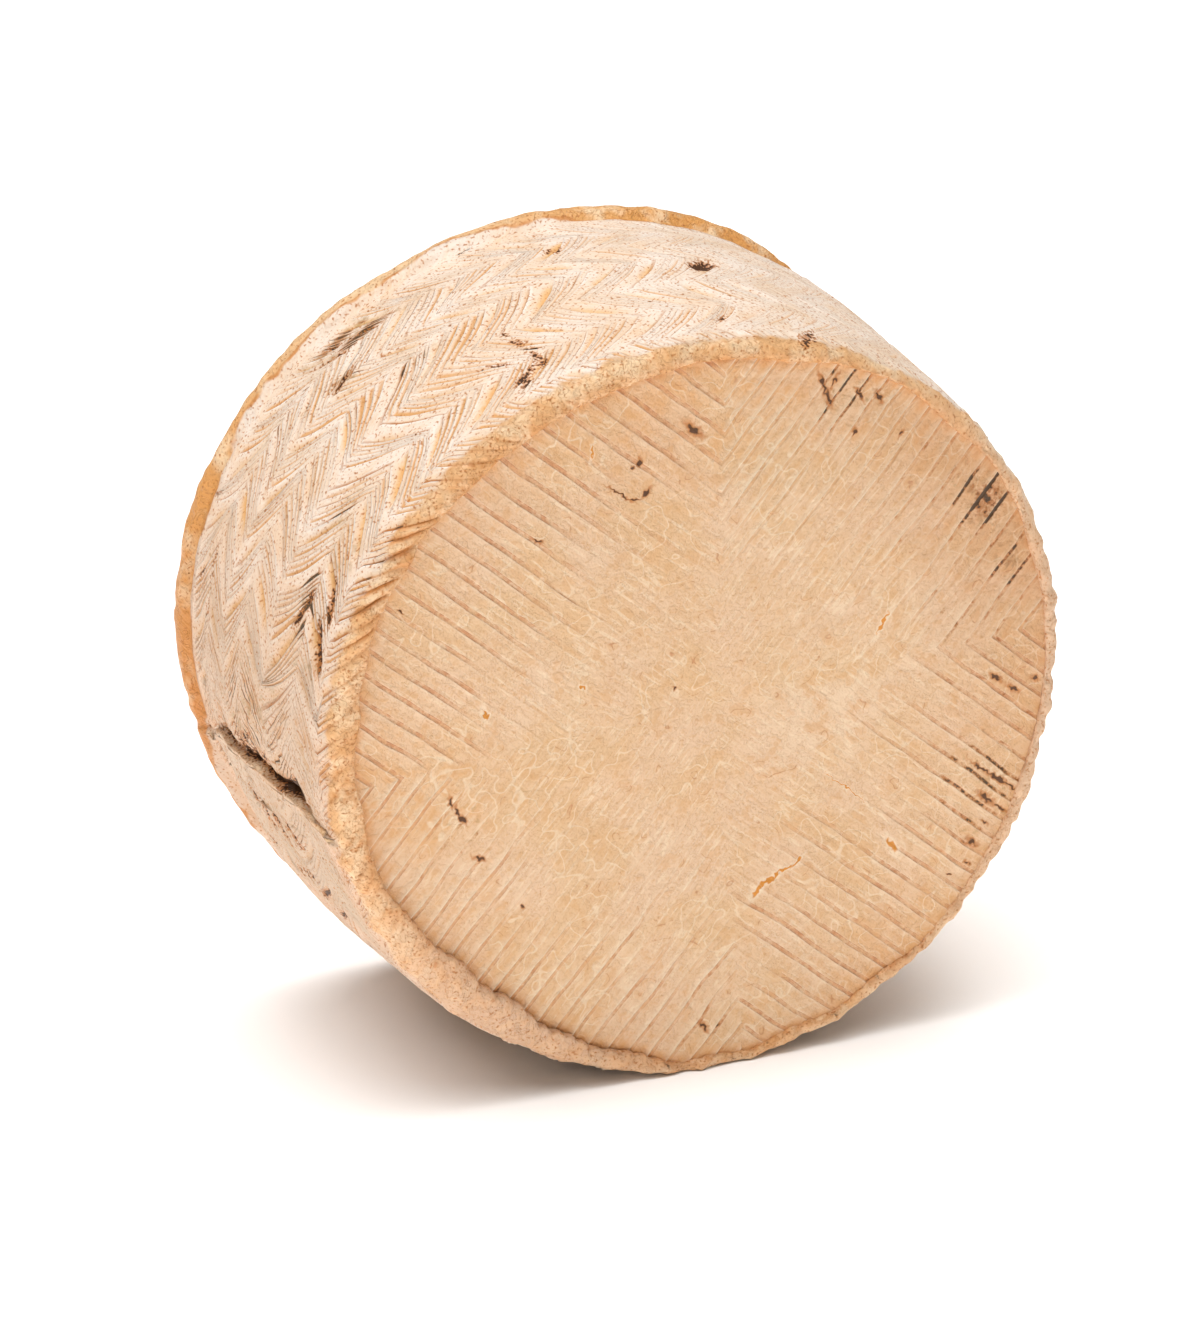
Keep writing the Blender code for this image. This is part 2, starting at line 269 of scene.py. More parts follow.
# Cracks and pits of the wall: angle and y at both ends, half width, depth in mm, darkness
wallCracks = (
    (115.6, 10.6, 115.9, 13.4, 1.2, 1.3, 1.1), (115.4, 13.6, 112.2, 16.6, 0.8, 0.7, 0.75),
    (111.6, 14.6, 111.2, 24.5, 0.6, 0.7, 1), (111.6, 26.5, 112.6, 38, 0.45, 0.5, 0.75),
    (116.3, 23.8, 116.9, 24.6, 0.7, 0.9, 0.9), (117.2, 25, 120, 27.4, 0.35, 0.4, 0.5),
    (120.4, 20.8, 120.9, 20.2, 0.4, 0.5, 0.7), (162.6, 12.4, 165.4, 10, 1.2, 2.6, 1.9),
    (160.2, 13, 162.4, 12.6, 0.6, 1.2, 1.2), (153.6, 14, 156, 11.6, 0.7, 1.5, 1.4),
    (156.2, 12, 158.8, 10.4, 0.7, 1.2, 1.3), (146, 14.6, 148.4, 12.4, 0.4, 0.5, 0.45),
    (157.4, 20.4, 161.6, 23.6, 0.55, 0.9, 0.8), (161.8, 23.4, 164.4, 24.6, 0.5, 0.8, 0.6),
    (151.2, 23.2, 152.2, 23.6, 0.5, 0.4, 0.5), (129.8, 63.8, 134.4, 60.8, 0.55, 0.7, 0.75),
    (133, 64.4, 134.6, 62.8, 0.45, 0.5, 0.7), (138, 67.2, 138.6, 66.6, 0.6, 0.7, 0.8),
    (120.6, 68.6, 121.6, 67.8, 0.5, 0.5, 0.55), (130, 43.6, 131.2, 42.6, 0.5, 0.6, 0.5),
    (126, 58.6, 126.8, 57.6, 0.45, 0.5, 0.45), (127.4, 79.6, 131.4, 83.2, 0.5, 0.6, 0.8),
    (129, 74.4, 132.6, 78.2, 0.5, 0.6, 0.7), (123.4, 74, 127, 78.8, 0.4, 0.5, 0.6),
    (132.6, 81.2, 134.6, 79.2, 0.45, 0.6, 0.8), (163.6, 75, 165.6, 74, 0.7, 0.8, 0.7),
    (169.6, 76, 172, 73.4, 0.6, 0.6, 0.5), (166.8, 81.4, 169.8, 83, 0.5, 0.6, 0.6),
    (77, 48.4, 79.4, 45.8, 1.9, 2.2, 1.3), (95.4, 67.6, 96.6, 69.6, 0.8, 0.7, 0.9),
    (84, 12.6, 84.3, 12.9, 0.7, 0.8, 0.8), (74, 1.4, 71.6, 7, 1, 0.5, 1),
    (187.2, 60.6, 188.2, 62, 0.7, 1.2, 1.1), (187, 66.6, 188.8, 67.4, 0.8, 1.2, 1.2),
    (186.6, 72, 189.4, 73.4, 0.7, 1, 1.1), (185.8, 19.6, 188.4, 29.5, 1.5, 2, 1.5),
    (185.2, 18.6, 187.4, 19.8, 0.8, 1, 1.2), (185.6, 39, 188.4, 34.5, 0.6, 1, 1.2),
    (185.8, 44, 188.4, 40, 0.6, 1, 1.1), (185, 50.5, 187.8, 46, 0.8, 1.4, 1.3),
    (185.6, 56, 188.2, 52, 0.7, 1.2, 1.2), (183.6, 47, 186, 44, 0.35, 0.6, 0.8),
    (196.6, 36, 199.6, 33, 1, 1, 1), (197.4, 44.4, 200.4, 41.4, 1, 1, 1),
    (196.6, 52.4, 199.6, 49, 1, 1, 0.95), (195.8, 59, 197.8, 55, 0.9, 1, 0.9),
    (204, 63, 206.2, 60, 0.9, 0.6, 0.6), (206, 27, 210.6, 39, 0.9, 1, 1.3),
    (205.4, 36, 208.6, 49, 0.9, 1, 1.3), (209.6, 24, 213, 33, 0.8, 1, 1.2),
    (227, 60, 228.5, 66, 0.9, 0.6, 0.6), (224, 34, 227, 44, 0.9, 0.6, 0.6),
    (20, 30, 21, 31, 0.8, 0.9, 0.8), (340, 55, 342, 58, 0.6, 0.8, 0.7),
    (310, 24, 312, 27, 0.6, 0.7, 0.6), (45, 70, 46, 73, 0.6, 0.6, 0.5),
)

# Patches of mould on the wall: angle, y, half length round the wall and across it in mm, strength
wallMould = (
    (126, 76.6, 12, 4, 1.4), (128.5, 83, 12, 3.4, 1.3), (131.5, 62.5, 9, 4, 1),
    (169, 79, 14, 6, 0.9), (141, 76, 13, 4.5, 0.75), (136, 66, 8, 4, 0.7), (124, 48, 9, 4.5, 0.7),
    (159, 21.5, 13, 4.5, 1.15), (157, 11, 14, 4.5, 1), (165, 11, 9, 5, 1),
    (147, 24, 9, 4, 0.6), (178, 44, 12, 22, 0.55), (184, 26, 6, 12, 0.6),
    (185, 48, 6, 12, 0.75), (186.5, 64, 4, 8, 0.6), (174, 20, 9, 6, 0.45), (199, 38, 6, 14, 0.4),
    (208, 38, 6, 14, 0.45),
    (123, 46, 5, 3, 0.35), (118, 70, 8, 4, 0.35), (214, 60, 9, 14, 0.5),
    (224, 40, 12, 14, 0.55), (20, 40, 14, 8, 0.6), (335, 60, 16, 7, 0.6),
    (305, 30, 14, 9, 0.5), (272, 50, 20, 22, 0.4), (50, 74, 10, 5, 0.4),
)


def flapEdge(y):
    # the angle of the flap's edge: bowed towards the underside at both lips, and a little ragged
    part = np.clip((y - 41) / 40, -1.15, 1.15)
    ragged = 0.25 * np.sin(y / 4.1) + 0.2 * np.sin(y / 1.9 + 1)
    return flap["angle"] + flap["bow"] * part ** 4 + ragged


def bundleSteps():
    # the places of the mesh's columns within one bundle: the hollow, then the flutes with thin edges
    share = (1 - plait["hollowShare"]) / plait["flutes"]
    hollow = plait["hollowShare"] * np.array(plait["hollowPlaces"])
    flutes = share * (np.arange(plait["flutes"])[:, None] + np.array(plait["flutePlaces"]))
    return np.append(hollow, plait["hollowShare"] + flutes.ravel())


def fluteOf(phase):
    # for a place counted in bundles: its bundle, its flute, how far across that, and all as one number
    bundle = np.floor(phase + 1e-9).astype(int)
    part = np.clip(phase - bundle, 0, 1)
    share = (1 - plait["hollowShare"]) / plait["flutes"]
    inFlutes = (part - plait["hollowShare"]) / share
    index = np.where(inFlutes < -1e-9, 0, np.floor(inFlutes + 1e-9).astype(int) + 1)
    across = np.where(index == 0, part / plait["hollowShare"], inFlutes - np.floor(inFlutes + 1e-9))
    index, across = np.minimum(index, plait["flutes"]), np.clip(across, 0, 1)
    return bundle % plait["bundles"], index, across, bundle * (plait["flutes"] + 1) + index + across


def tri(value):
    # a triangle wave: 0, 1, 0, 1 at whole numbers
    return np.abs((value + 1) % 2 - 1)


def wallGrid():
    # rows run from the front lip's foot over the wall to the back lip's foot, and columns follow the strands
    bundles, columns, lines = plait["bundles"], plait["columns"], plait["lines"]
    phase = (np.arange(bundles)[:, None] + bundleSteps()).ravel()
    degrees = 360 / bundles
    plain = phase * 360 / bundles
    fromFlap = away(plain, flap["angle"])
    level, before, beyond = flap["straight"]
    straight = ease(np.abs(fromFlap), level, np.where(fromFlap < 0, before, beyond))
    rows = []  # swing of the strands, y, radius, column, part of the column, place along the strands

    def turnedBy(swing):
        return plain - swing * straight * degrees

    height = stretched(plain, *frontLip["height"])
    for share, more, deep, below, swing in frontLip["stations"]:
        turned = turnedBy(swing)
        rim = rimRadius(turned, "front")
        radius = rim - share * (rim - footRadius(turned, "front")) - more
        y = deep * height + below
        if below > 3:
            radius = np.where(y > 4.5, wallRadius(turned, y), rim)
        rows.append((swing, y, radius, -1, 1 - swing, y - lines[0]))

    strands = bundles * (plait["flutes"] + 1)
    edges = np.random.default_rng(23).uniform(-1, 1, (columns + 1, strands))
    strand = fluteOf(phase)[3]
    wide = np.append(np.arange(strands), strands)
    wander = [degrees * plait["strandWander"] * np.interp(strand, wide, np.append(e, e[0])) for e in edges]
    wobbleLine = [plait["lineWobble"] * ringNoise(plain, 34, 60 + k) for k in range(columns + 1)]
    wobbleTurn = [plait["swingWobble"] * ringNoise(plain, 40, 80 + k) for k in range(columns + 1)]
    for column in range(columns):
        for part in plait["rows"]:
            line, turn, edge = ((1 - part) * wobble[column] + part * wobble[column + 1]
                                for wobble in (wobbleLine, wobbleTurn, wander))
            y = np.interp(column + part, np.arange(columns + 1), lines) + line * straight
            swing = tri(column + part + plait["bend"] * math.sin(math.pi * part)) + turn + edge / degrees
            along = plait["columnLength"] * (column + part)
            rows.append((swing, y, wallRadius(turnedBy(swing), y), column, part, along))

    end = plait["columnLength"] * columns
    y = lines[-1] + wobbleLine[-1] * straight
    swing = tri(float(columns)) + wobbleTurn[-1] + wander[-1] / degrees
    rows.append((swing, y, wallRadius(turnedBy(swing), y), columns, 0, end))
    for depth, inset, swing in backLip["stations"]:
        turned = turnedBy(swing)
        y = wheel["width"] - depth + np.zeros_like(plain)
        radius = wallRadius(turned, y) if inset is None else rimRadius(turned, "back") - inset
        rows.append((swing, y, radius, columns, swing, end + y - lines[-1]))
    height = stretched(plain, *backLip["height"])
    for share, deep, swing in backLip["inner"]:
        turned = turnedBy(swing)
        radius = rimRadius(turned, "back") - share * (rimRadius(turned, "back") - footRadius(turned, "back"))
        rows.append((swing, wheel["width"] - deep * height, radius, columns, swing, end + 16 + 6 * share))

    swing, y, radius, column, part, along = (
        np.array([np.broadcast_to(value, plain.shape) for value in values]) for values in zip(*rows))
    return {"phase": phase + swing * (1 - straight), "angle": turnedBy(swing), "y": y, "radius": radius,
            "column": column, "part": part, "along": along}


def onAxis(angle, y, radius):
    # points in mm round the wheel's own axis
    turn = np.radians(angle)
    return np.stack((radius * np.cos(turn), y, radius * np.sin(turn)), axis=-1)


def gridNormals(points):
    # outward normals of a grid that closes round its second axis, from the differences of neighbours
    along = np.gradient(points, axis=0)
    across = np.roll(points, -1, axis=1) - np.roll(points, 1, axis=1)
    normal = np.cross(along, across)
    return normal / np.maximum(np.linalg.norm(normal, axis=-1, keepdims=True), 1e-9)


def plaitRelief(grid):
    # flutes with sharp ridges between them, a wide hollow in each bundle, a crease along each zigzag line
    angle, y, part, phase = (grid[key] for key in ("angle", "y", "part", "phase"))
    rng = np.random.default_rng(21)
    bundle, index, across, strand = fluteOf(phase)
    column = np.clip(grid["column"], -1, plait["columns"] - 1)
    shape = (plait["columns"] + 1, plait["bundles"])
    uneven = rng.uniform(0.3, 1.4, (*shape, plait["flutes"] + 1))[column, bundle, index]
    level = rng.uniform(-1, 1, shape)[column, bundle]
    lean = rng.uniform(-0.4, 1.5, shape)[column, bundle]
    onLip = grid["column"] < 0
    onWall = grid["column"] < plait["columns"]
    # each strand sinks slowly towards the front end's side and ends there in a sharp edge
    sunk = np.where(column % 2 == 0, 1 - across, across)
    sunk = sunk ** 1.3 * fade(sunk, 0.88, 1)
    start = stretched(angle, *frontLip["printStart"])
    lens = np.where(onLip, 0.5, np.sin(np.pi * np.clip(part, 0, 1) ** 1.2) ** 1.1)
    body = np.where(onLip, ease(y, start, start + 1.6), np.sin(np.pi * np.clip(part, 0.02, 0.98)) ** 0.35)
    lipOnly = np.where(onLip, body, 1)
    hollow = np.where(index == 0, plait["hollowDepth"] * uneven * lens * sunk, 0) * lipOnly
    flute = np.where(index > 0, plait["fluteDepth"] * uneven * body * sunk, 0)
    place = phase - np.floor(phase)
    tilt = (plait["bundleTilt"] * lean * (place - 0.5) + plait["columnSteps"] * level) * body
    gap = np.where(onLip, 5, np.minimum(part, 1 - part)) * plait["columnLength"]
    crease = plait["creaseDepth"] * bell(gap, 0, plait["creaseWidth"])
    points = onAxis(angle, y, grid["radius"])
    sharp = stretched(angle, *plait["sharpness"]) * (1 + 0.3 * lumps(points, 19, 31))
    sharp = np.clip(sharp, 0.25, 1.25)
    high = np.where(onWall, sharp * (tilt - hollow - flute - crease), 0) * np.where(onLip, 0.65, 1)
    masks = {
        "hollow": np.where(onWall & (index == 0), 1.25 * lens * sunk * sharp * uneven * lipOnly, 0),
        "print": np.where(onWall, body * sharp, 0),
        # sunk: also where painted shade lies on the strands' sunk sides
        "sunk": np.where(onWall & (index > 0), uneven * sunk * body * sharp, 0),
    }
    return high, masks, strand


def lipRopes(grid):
    # waxy ropes that slant over the front lip: three rounded ropes to a bundle, lost towards the inner edge
    angle, y, part, phase = (grid[key] for key in ("angle", "y", "part", "phase"))
    onLip = grid["column"] < 0
    place = phase - np.floor(phase)
    edges = np.array(frontLip["ropeEdges"])
    ropes = len(edges) - 1
    rope = np.clip(np.searchsorted(edges, place + 1e-9, side="right") - 1, 0, ropes - 1)
    across = np.clip((place - edges[rope]) / (edges[rope + 1] - edges[rope]), 0, 1)
    arch = np.sin(np.pi * across) ** 0.7
    whole = np.sin(np.pi * place) ** 0.6
    number = (np.floor(phase).astype(int) % plait["bundles"]) * ropes + rope
    uneven = np.random.default_rng(24).uniform(0.1, 1.6, plait["bundles"] * ropes)[number]
    size = stretched(angle, *frontLip["ropes"]) * uneven
    extent = ease(part, 0.06, 0.3) * fade(y, 2.2, 5.2)
    points = onAxis(angle, y, grid["radius"])
    patchy = np.clip(0.75 + 0.9 * lumps(points, 13, 25), 0.15, 1.5)
    cell, depth = frontLip["ropeLumps"]
    melted = (depth * lumps(points, cell, 26) + 0.3 * lumps(points, 1.7, 27)) * ease(part, 0, 0.14)
    high = patchy * size * extent * (0.75 * (arch - 0.7) + 0.8 * (whole - 0.75)) + melted
    scallop = np.abs(np.sin(np.radians(0.5 * frontLip["scallopCount"] * angle))) ** 0.8
    outer = stretched(angle, *frontLip["scallops"]) * (scallop - 0.55) * ease(part, 0.2, 0.5)
    # valley: painted shade between the ropes
    valley = (1 - arch) * extent * size * patchy
    return np.where(onLip, high + outer, 0), np.where(onLip, valley, 0)


def flapFold(grid):
    # the flap's edge stands up and leans over a crevice: its profile is a sideways shift and a height
    y = grid["y"]
    mmPerDegree = np.pi / 180 * grid["radius"]
    off = away(grid["angle"], flapEdge(y)) * mmPerDegree
    knots = np.array(flap["profile"])
    shift, high = (np.interp(off, knots[:, 0], knots[:, k], left=0, right=0) for k in (1, 2))
    start, full, end, gone = flap["open"]
    deep = ease(y, start, full) * (1 - flap["closing"] * ease(y, end, gone))
    deep = deep * (0.8 + 0.25 * np.sin(y / 3.3) * np.sin(y / 7.7))
    deep = deep * np.clip(0.9 + 0.6 * lumps(onAxis(grid["angle"], y, grid["radius"]), 2.4, 45), 0.2, 1.2)
    stands = between(y, *flap["stands"])
    return {
        "shift": shift * stands / mmPerDegree,
        "high": high * np.where(high < 0, deep, stands),
        "edge": bell(off, 0.7, 0.9) * stands,
        # crevice: the crevice under the flap, painted dark as shade through the pit mask
        "crevice": np.clip(-high / 3, 0, 1) * deep,
        "beyond": between(off, 0, 3, 26, 46) * between(y, 6, 12, 78, 86),
    }


def wallSurface():
    # the wall's points with all their relief, its masks, and the two coordinates of the strand map
    grid = wallGrid()
    fold = flapFold(grid)
    angle, y = grid["angle"], grid["y"]
    edge = fold["edge"]
    relief, masks, strand = plaitRelief(grid)
    plain = onAxis(angle, y, grid["radius"])
    points = onAxis(angle + fold["shift"], y, grid["radius"])
    toMm = np.pi / 180 * wheel["frontRadius"]
    marks = [(away(m[0], 180) * toMm, m[1], away(m[2], 180) * toMm, m[3], m[4]) for m in wallCracks]
    near = toSegments(away(angle, 180) * toMm, y, marks)
    deep, dark = (sum(m[k] * n for m, n in zip(wallCracks, near)) for k in (5, 6))
    pit = deep * np.clip(0.75 + 0.45 * lumps(plain, 1.7, 41), 0.3, 1.2)
    mould = np.zeros_like(pit)
    for centre, along, reachRound, reachAcross, strength in wallMould:
        gap = (away(angle, centre) * toMm / reachRound) ** 2 + ((y - along) / reachAcross) ** 2
        mould = np.maximum(mould, strength * np.exp(-gap))
    ropes, masks["valley"] = lipRopes(grid)
    backEdge = ease(y, wheel["width"] - 8, wheel["width"] - 4)
    frayed = backEdge * (0.75 * lumps(plain, 7, 43) + 0.3 * lumps(plain, 3, 44))
    high = relief * (1 - 0.8 * edge) + ropes + frayed + roughness(points) + fold["high"] - pit
    high[[0, -1]] *= 0.3
    points = points + gridNormals(plain) * high[..., None]

    frontWax = np.clip(0.5 - (y - stretched(angle, *frontLip["waxEnd"]) - 1) / 8, 0, 1)
    amberStart = wheel["width"] - stretched(angle, *backLip["waxReach"])
    nearFlap = 0.55 * hump(angle, 184, 24) * between(y, 5, 12, 82, 88)
    paleFront = hump(angle, -5, 75) * fade(y, 1, 5)
    paleBack = hump(angle, 118, 42) * ease(y, 80, 90)
    masks.update({
        "wax": np.maximum(frontWax, edge),
        # inner: painted shade towards the front lip's inner edge
        "inner": np.where(grid["column"] < 0, ease(1 - grid["part"], 0.45, 0.95), 0),
        "amber": np.clip(0.5 + (y - amberStart) / 6, 0, 1),
        # side: painted shade, the wall darker on its left and lower left, away from the light
        "side": 0.85 * hump(angle, 200, 66),
        "mould": mould * ease(y, 5, 10) * (1 - 0.9 * edge),
        # pit: real pits and cracks, with painted shade in the crevice under the flap
        "pit": np.clip(dark + 1.2 * fold["crevice"], 0, 1.3),
        "grey": np.maximum(0.85 * fold["beyond"], nearFlap) * (1 - edge),
        "pink": hump(angle, 236, 50) * fade(y, 3, 9),
        "paleEdge": paleFront + paleBack + 0.8 * edge * ease(y, 8, 14),
    })
    return points, masks, strand, grid["along"]


# The board's print on the two ends

frontBoard = {
    "centre": (3.6, 3.4),
    "turn": 5,
    "axes": (3, 88.5, 185.5, 274.5),
    "pitch": 5.2,
    "lines": (0, 0.07, 0.115, 0.17, 0.50, 0.83, 0.885, 0.93),
    "steps": 26,
    "grooveDepth": 0.08,
    "hairline": 0.2,
    "slatTilt": 0.05,
    "slatSteps": 0.05,
    # parts of the pitch from a groove's middle: its flat bed and its edge, and a hairline's place and width
    "grooveEdges": (0.06, 0.12),
    "hairPlace": (0.13, 0.04),
    # the print where it has nearly gone, and the radii in mm between which it comes out of the smooth middle
    "faint": 0.26,
    "smoothMiddle": (12, 45),
    # mm that the middle lies below the lip's crest, and the radii in mm between which that changes
    "middleLevel": 1.4,
    "levelSpan": (45, 88),
    "seed": 3,
    # for each field from the upper right, turning left: the raised edge of a groove, how brown it is, how
    # high the raised edge stands and how strongly it gets a painted highlight, and how far in mm the grooves
    # reach from the lip
    "fields": ((1, 0.25, 1, 52), (1, 1.1, 0.5, 46), (-1, 0.8, 1, 34), (-1, 1, 0.55, 42)),
    # patches: x, z, reach in mm, strength
    "mould": ((74.2, 42.7, 8, 1.3), (70, 47, 6, 1), (81, 26, 8, 0.8), (76, -30, 15, 0.65),
              (70, 12, 15, 0.4), (36, 76, 9, 0.8), (62, 54, 12, 0.35), (-61, -20, 9, 0.5),
              (2, -80, 10, 0.35)),
    "warm": ((51.4, -76.5, 16, 1), (60, -62, 12, 0.6), (-10, 84, 24, 1), (-46, 76, 18, 0.9),
             (-70, -58, 20, 1), (-82, -10, 24, 0.9)),
    "whiten": ((30, -4, 16, 0.8), (-70, -8, 12, 0.4), (62, 8, 14, 0.5), (-20, -60, 20, 0.3),
               (20, -78, 12, 0.5), (-40, 8, 12, 0.3)),
}

backBoard = dict(
    frontBoard, centre=(-3, 2), turn=14, axes=(14, 104, 194, 284), lines=(0, 0.09, 0.5, 0.91),
    steps=18, seed=4,
    mould=((-40, 40, 16, 0.7), (50, -20, 12, 0.5), (10, 76, 10, 0.5)),
    warm=((40, 60, 20, 0.8), (-60, -30, 18, 0.7)),
    whiten=((0, 10, 24, 0.7), (-50, -50, 16, 0.5)),
)

# Marks on the front face: x and z at both ends and half width, in mm
faceDark = (
    (-3.6, 72.9, -1.4, 70.8, 0.8), (-24, 60.5, -19, 57, 0.22), (-19, 57, -16.6, 56.4, 0.25),
    (-15.4, 57.4, -14.4, 58.6, 0.5), (-16.4, 65.2, -16.2, 66.4, 0.45), (-18.2, 64.2, -18, 64.6, 0.3),
    (29.8, 80.6, 31.2, 76.6, 0.45), (31.2, 76.6, 32.6, 73.4, 0.6), (34, 80, 32.6, 77.6, 0.3),
    (39.4, 75.8, 40.8, 73.4, 0.35), (44.6, 74.2, 45.6, 72.4, 0.5), (39.1, 66.1, 38.4, 65, 0.35),
    (51.2, 63.8, 50.6, 62.8, 0.3), (75.2, -34.6, 77.6, -36.6, 0.75), (78.7, -37.6, 81.2, -39.6, 0.4),
    (72.8, -25.8, 77.2, -29.2, 0.35), (77.2, -29.2, 81.6, -32.6, 0.55), (81.6, -32.6, 84.4, -34.6, 0.3),
    (77.2, -3.2, 78.8, -4.4, 0.5), (82, -6.8, 83.8, -8, 0.6), (88.6, -5.6, 89.2, -6, 0.5),
    (75.6, -41.7, 76.4, -42.4, 0.35), (72.2, -46.3, 73.4, -47.3, 0.65), (71, -51.8, 71.6, -52.3, 0.4),
    (66.3, -54, 66.8, -54.4, 0.3), (-43.2, 50.6, -41.6, 49.6, 0.3), (-77, 38, -76.2, 37.2, 0.3),
    (-7.6, 7.4, -7.3, 6.9, 0.3), (-64.9, -11.2, -64.5, -13.2, 0.45), (-63.2, -14, -62.7, -15.8, 0.4),
    (-62.6, -16.2, -61.2, -18, 0.45), (-58.2, -27.8, -56.8, -28.3, 0.5), (-46.4, -42.5, -46.1, -43, 0.35),
    (0.4, -82.4, 1.6, -84, 0.5),
)

faceOrange = (
    (14, -50.4, 15.6, -48.2, 0.75), (15.6, -48.2, 19.4, -46.8, 0.6), (19.4, -46.8, 20.6, -45.2, 0.5),
    (20.6, -45.2, 24.4, -44.6, 0.5), (24.4, -44.6, 26.6, -42.6, 0.4), (-56.3, 9.8, -55.6, 7.4, 0.6),
    (46, 13, 48.8, 18, 0.5), (-28, 72, -28.6, 68.6, 0.3), (-31.6, 12, -30.6, 11.4, 0.4),
    (50, -42.2, 51.6, -45, 0.8), (32.4, -20.8, 44, -31.6, 0.2),
)


def faceLevel(x, z, end, board):
    # how far the plain face lies below the lip's crest: level in the middle, at the lip's foot round the edge
    middle = board["middleLevel"]
    atFoot = stretched(angleOf(x, z), *lips[end]["height"])
    return middle + (atFoot - middle) * ease(np.hypot(x, z), *board["levelSpan"])


def reachToFoot(start, direction, end):
    # distance from points on the face to the lip's foot along one direction, by halving
    near = np.zeros(len(start))
    far = np.full(len(start), 250)
    for _ in range(42):
        middle = 0.5 * (near + far)
        x, z = start[:, 0] + middle * direction[0], start[:, 1] + middle * direction[1]
        inside = np.hypot(x, z) < footRadius(angleOf(x, z), end)
        near, far = np.where(inside, middle, near), np.where(inside, far, middle)
    return near


def facing(degrees):
    return np.array((math.cos(math.radians(degrees)), math.sin(math.radians(degrees))))


def fieldGrid(board, end, quarter):
    # one field of ribs: lines parallel to its bisector, each from the axis where it starts out to the lip
    centre = np.array(board["centre"])
    count = int(1.1 * wheel["backRadius"] / board["pitch"])
    offsets = board["pitch"] * (np.arange(count)[:, None] + np.array(board["lines"])).ravel()
    outward = facing(board["turn"] + 90 * quarter + 45)
    sides = []
    for side, angle in ((-1, board["axes"][quarter]), (1, board["axes"][(quarter + 1) % 4])):
        axis = facing(angle)
        length = reachToFoot(centre[None, :], axis, end)[0]
        inside = np.append(offsets[np.sqrt(2) * offsets < length - 0.4], length / np.sqrt(2))
        start = centre + np.sqrt(2) * inside[:, None] * axis
        sides.append((side * inside, start))
    signed = np.concatenate((sides[0][0][::-1], sides[1][0][1:]))
    start = np.concatenate((sides[0][1][::-1], sides[1][1][1:]))
    reach = reachToFoot(start, outward, end)
    reach[0] = reach[-1] = 0
    steps = np.linspace(0, 1, board["steps"])
    along = steps[None, :] * reach[:, None]
    points = start[:, None, :] + along[..., None] * outward
    return points[..., 0], points[..., 1], signed[:, None] + 0 * along, along, reach[:, None] - along


def boardRelief(board, x, z, offset, remain, quarter):
    # each groove has a raised line along one edge and fades at its own distance from the lip
    raised, brown, bright, reach = np.array(board["fields"])[quarter].T
    seed = board["seed"]
    rng = np.random.default_rng(seed)
    lengths = rng.uniform(0.55, 1.35, (4, 2, 64))
    levels = rng.uniform(-1, 1, (4, 2, 64))
    phase = np.abs(offset) / board["pitch"]
    line = np.round(phase).astype(int)
    near = phase - line
    half = (offset > 0).astype(int)
    flat = onFace(x, z)
    reach = reach * lengths[quarter, half, line] * (1 + 0.25 * lumps(flat, 14, 50 + seed))
    strength = fade(remain, 0.45 * reach, 1.15 * reach)
    middle = np.hypot(x - board["centre"][0], z - board["centre"][1])
    patchy = np.clip(1 + 1.1 * lumps(flat, 9, 57 + seed), 0, 1.5)
    faint = board["faint"] * ease(middle, *board["smoothMiddle"]) * patchy
    side = raised * np.sign(offset)
    groove = fade(np.abs(near), *board["grooveEdges"])
    place, width = board["hairPlace"]
    hair = bell(near * side, place, width) + 0.3 * bell(near * side, -place, width)
    inSlat = phase - np.floor(phase)
    lean = board["slatTilt"] * side * (0.5 - inSlat)
    step = board["slatSteps"] * levels[quarter, half, np.floor(phase + 1e-6).astype(int)]
    slat = (lean + step) * (1 - groove) * np.maximum(strength, 0.5 * faint)
    strength = np.clip(strength * (1 + 0.5 * lumps(flat, 5, 52 + seed)), 0, 1.3)
    high = slat + board["hairline"] * bright * hair * np.maximum(strength, 1.4 * faint)
    high = high - board["grooveDepth"] * groove * np.maximum(strength, 0.6 * faint)
    return high, {
        "print": strength,
        "groove": groove * strength * brown,
        # hairline: where the raised line is painted pale as a highlight
        "hairline": hair * np.maximum(strength, faint) * bright,
        "brown": brown * strength,
    }


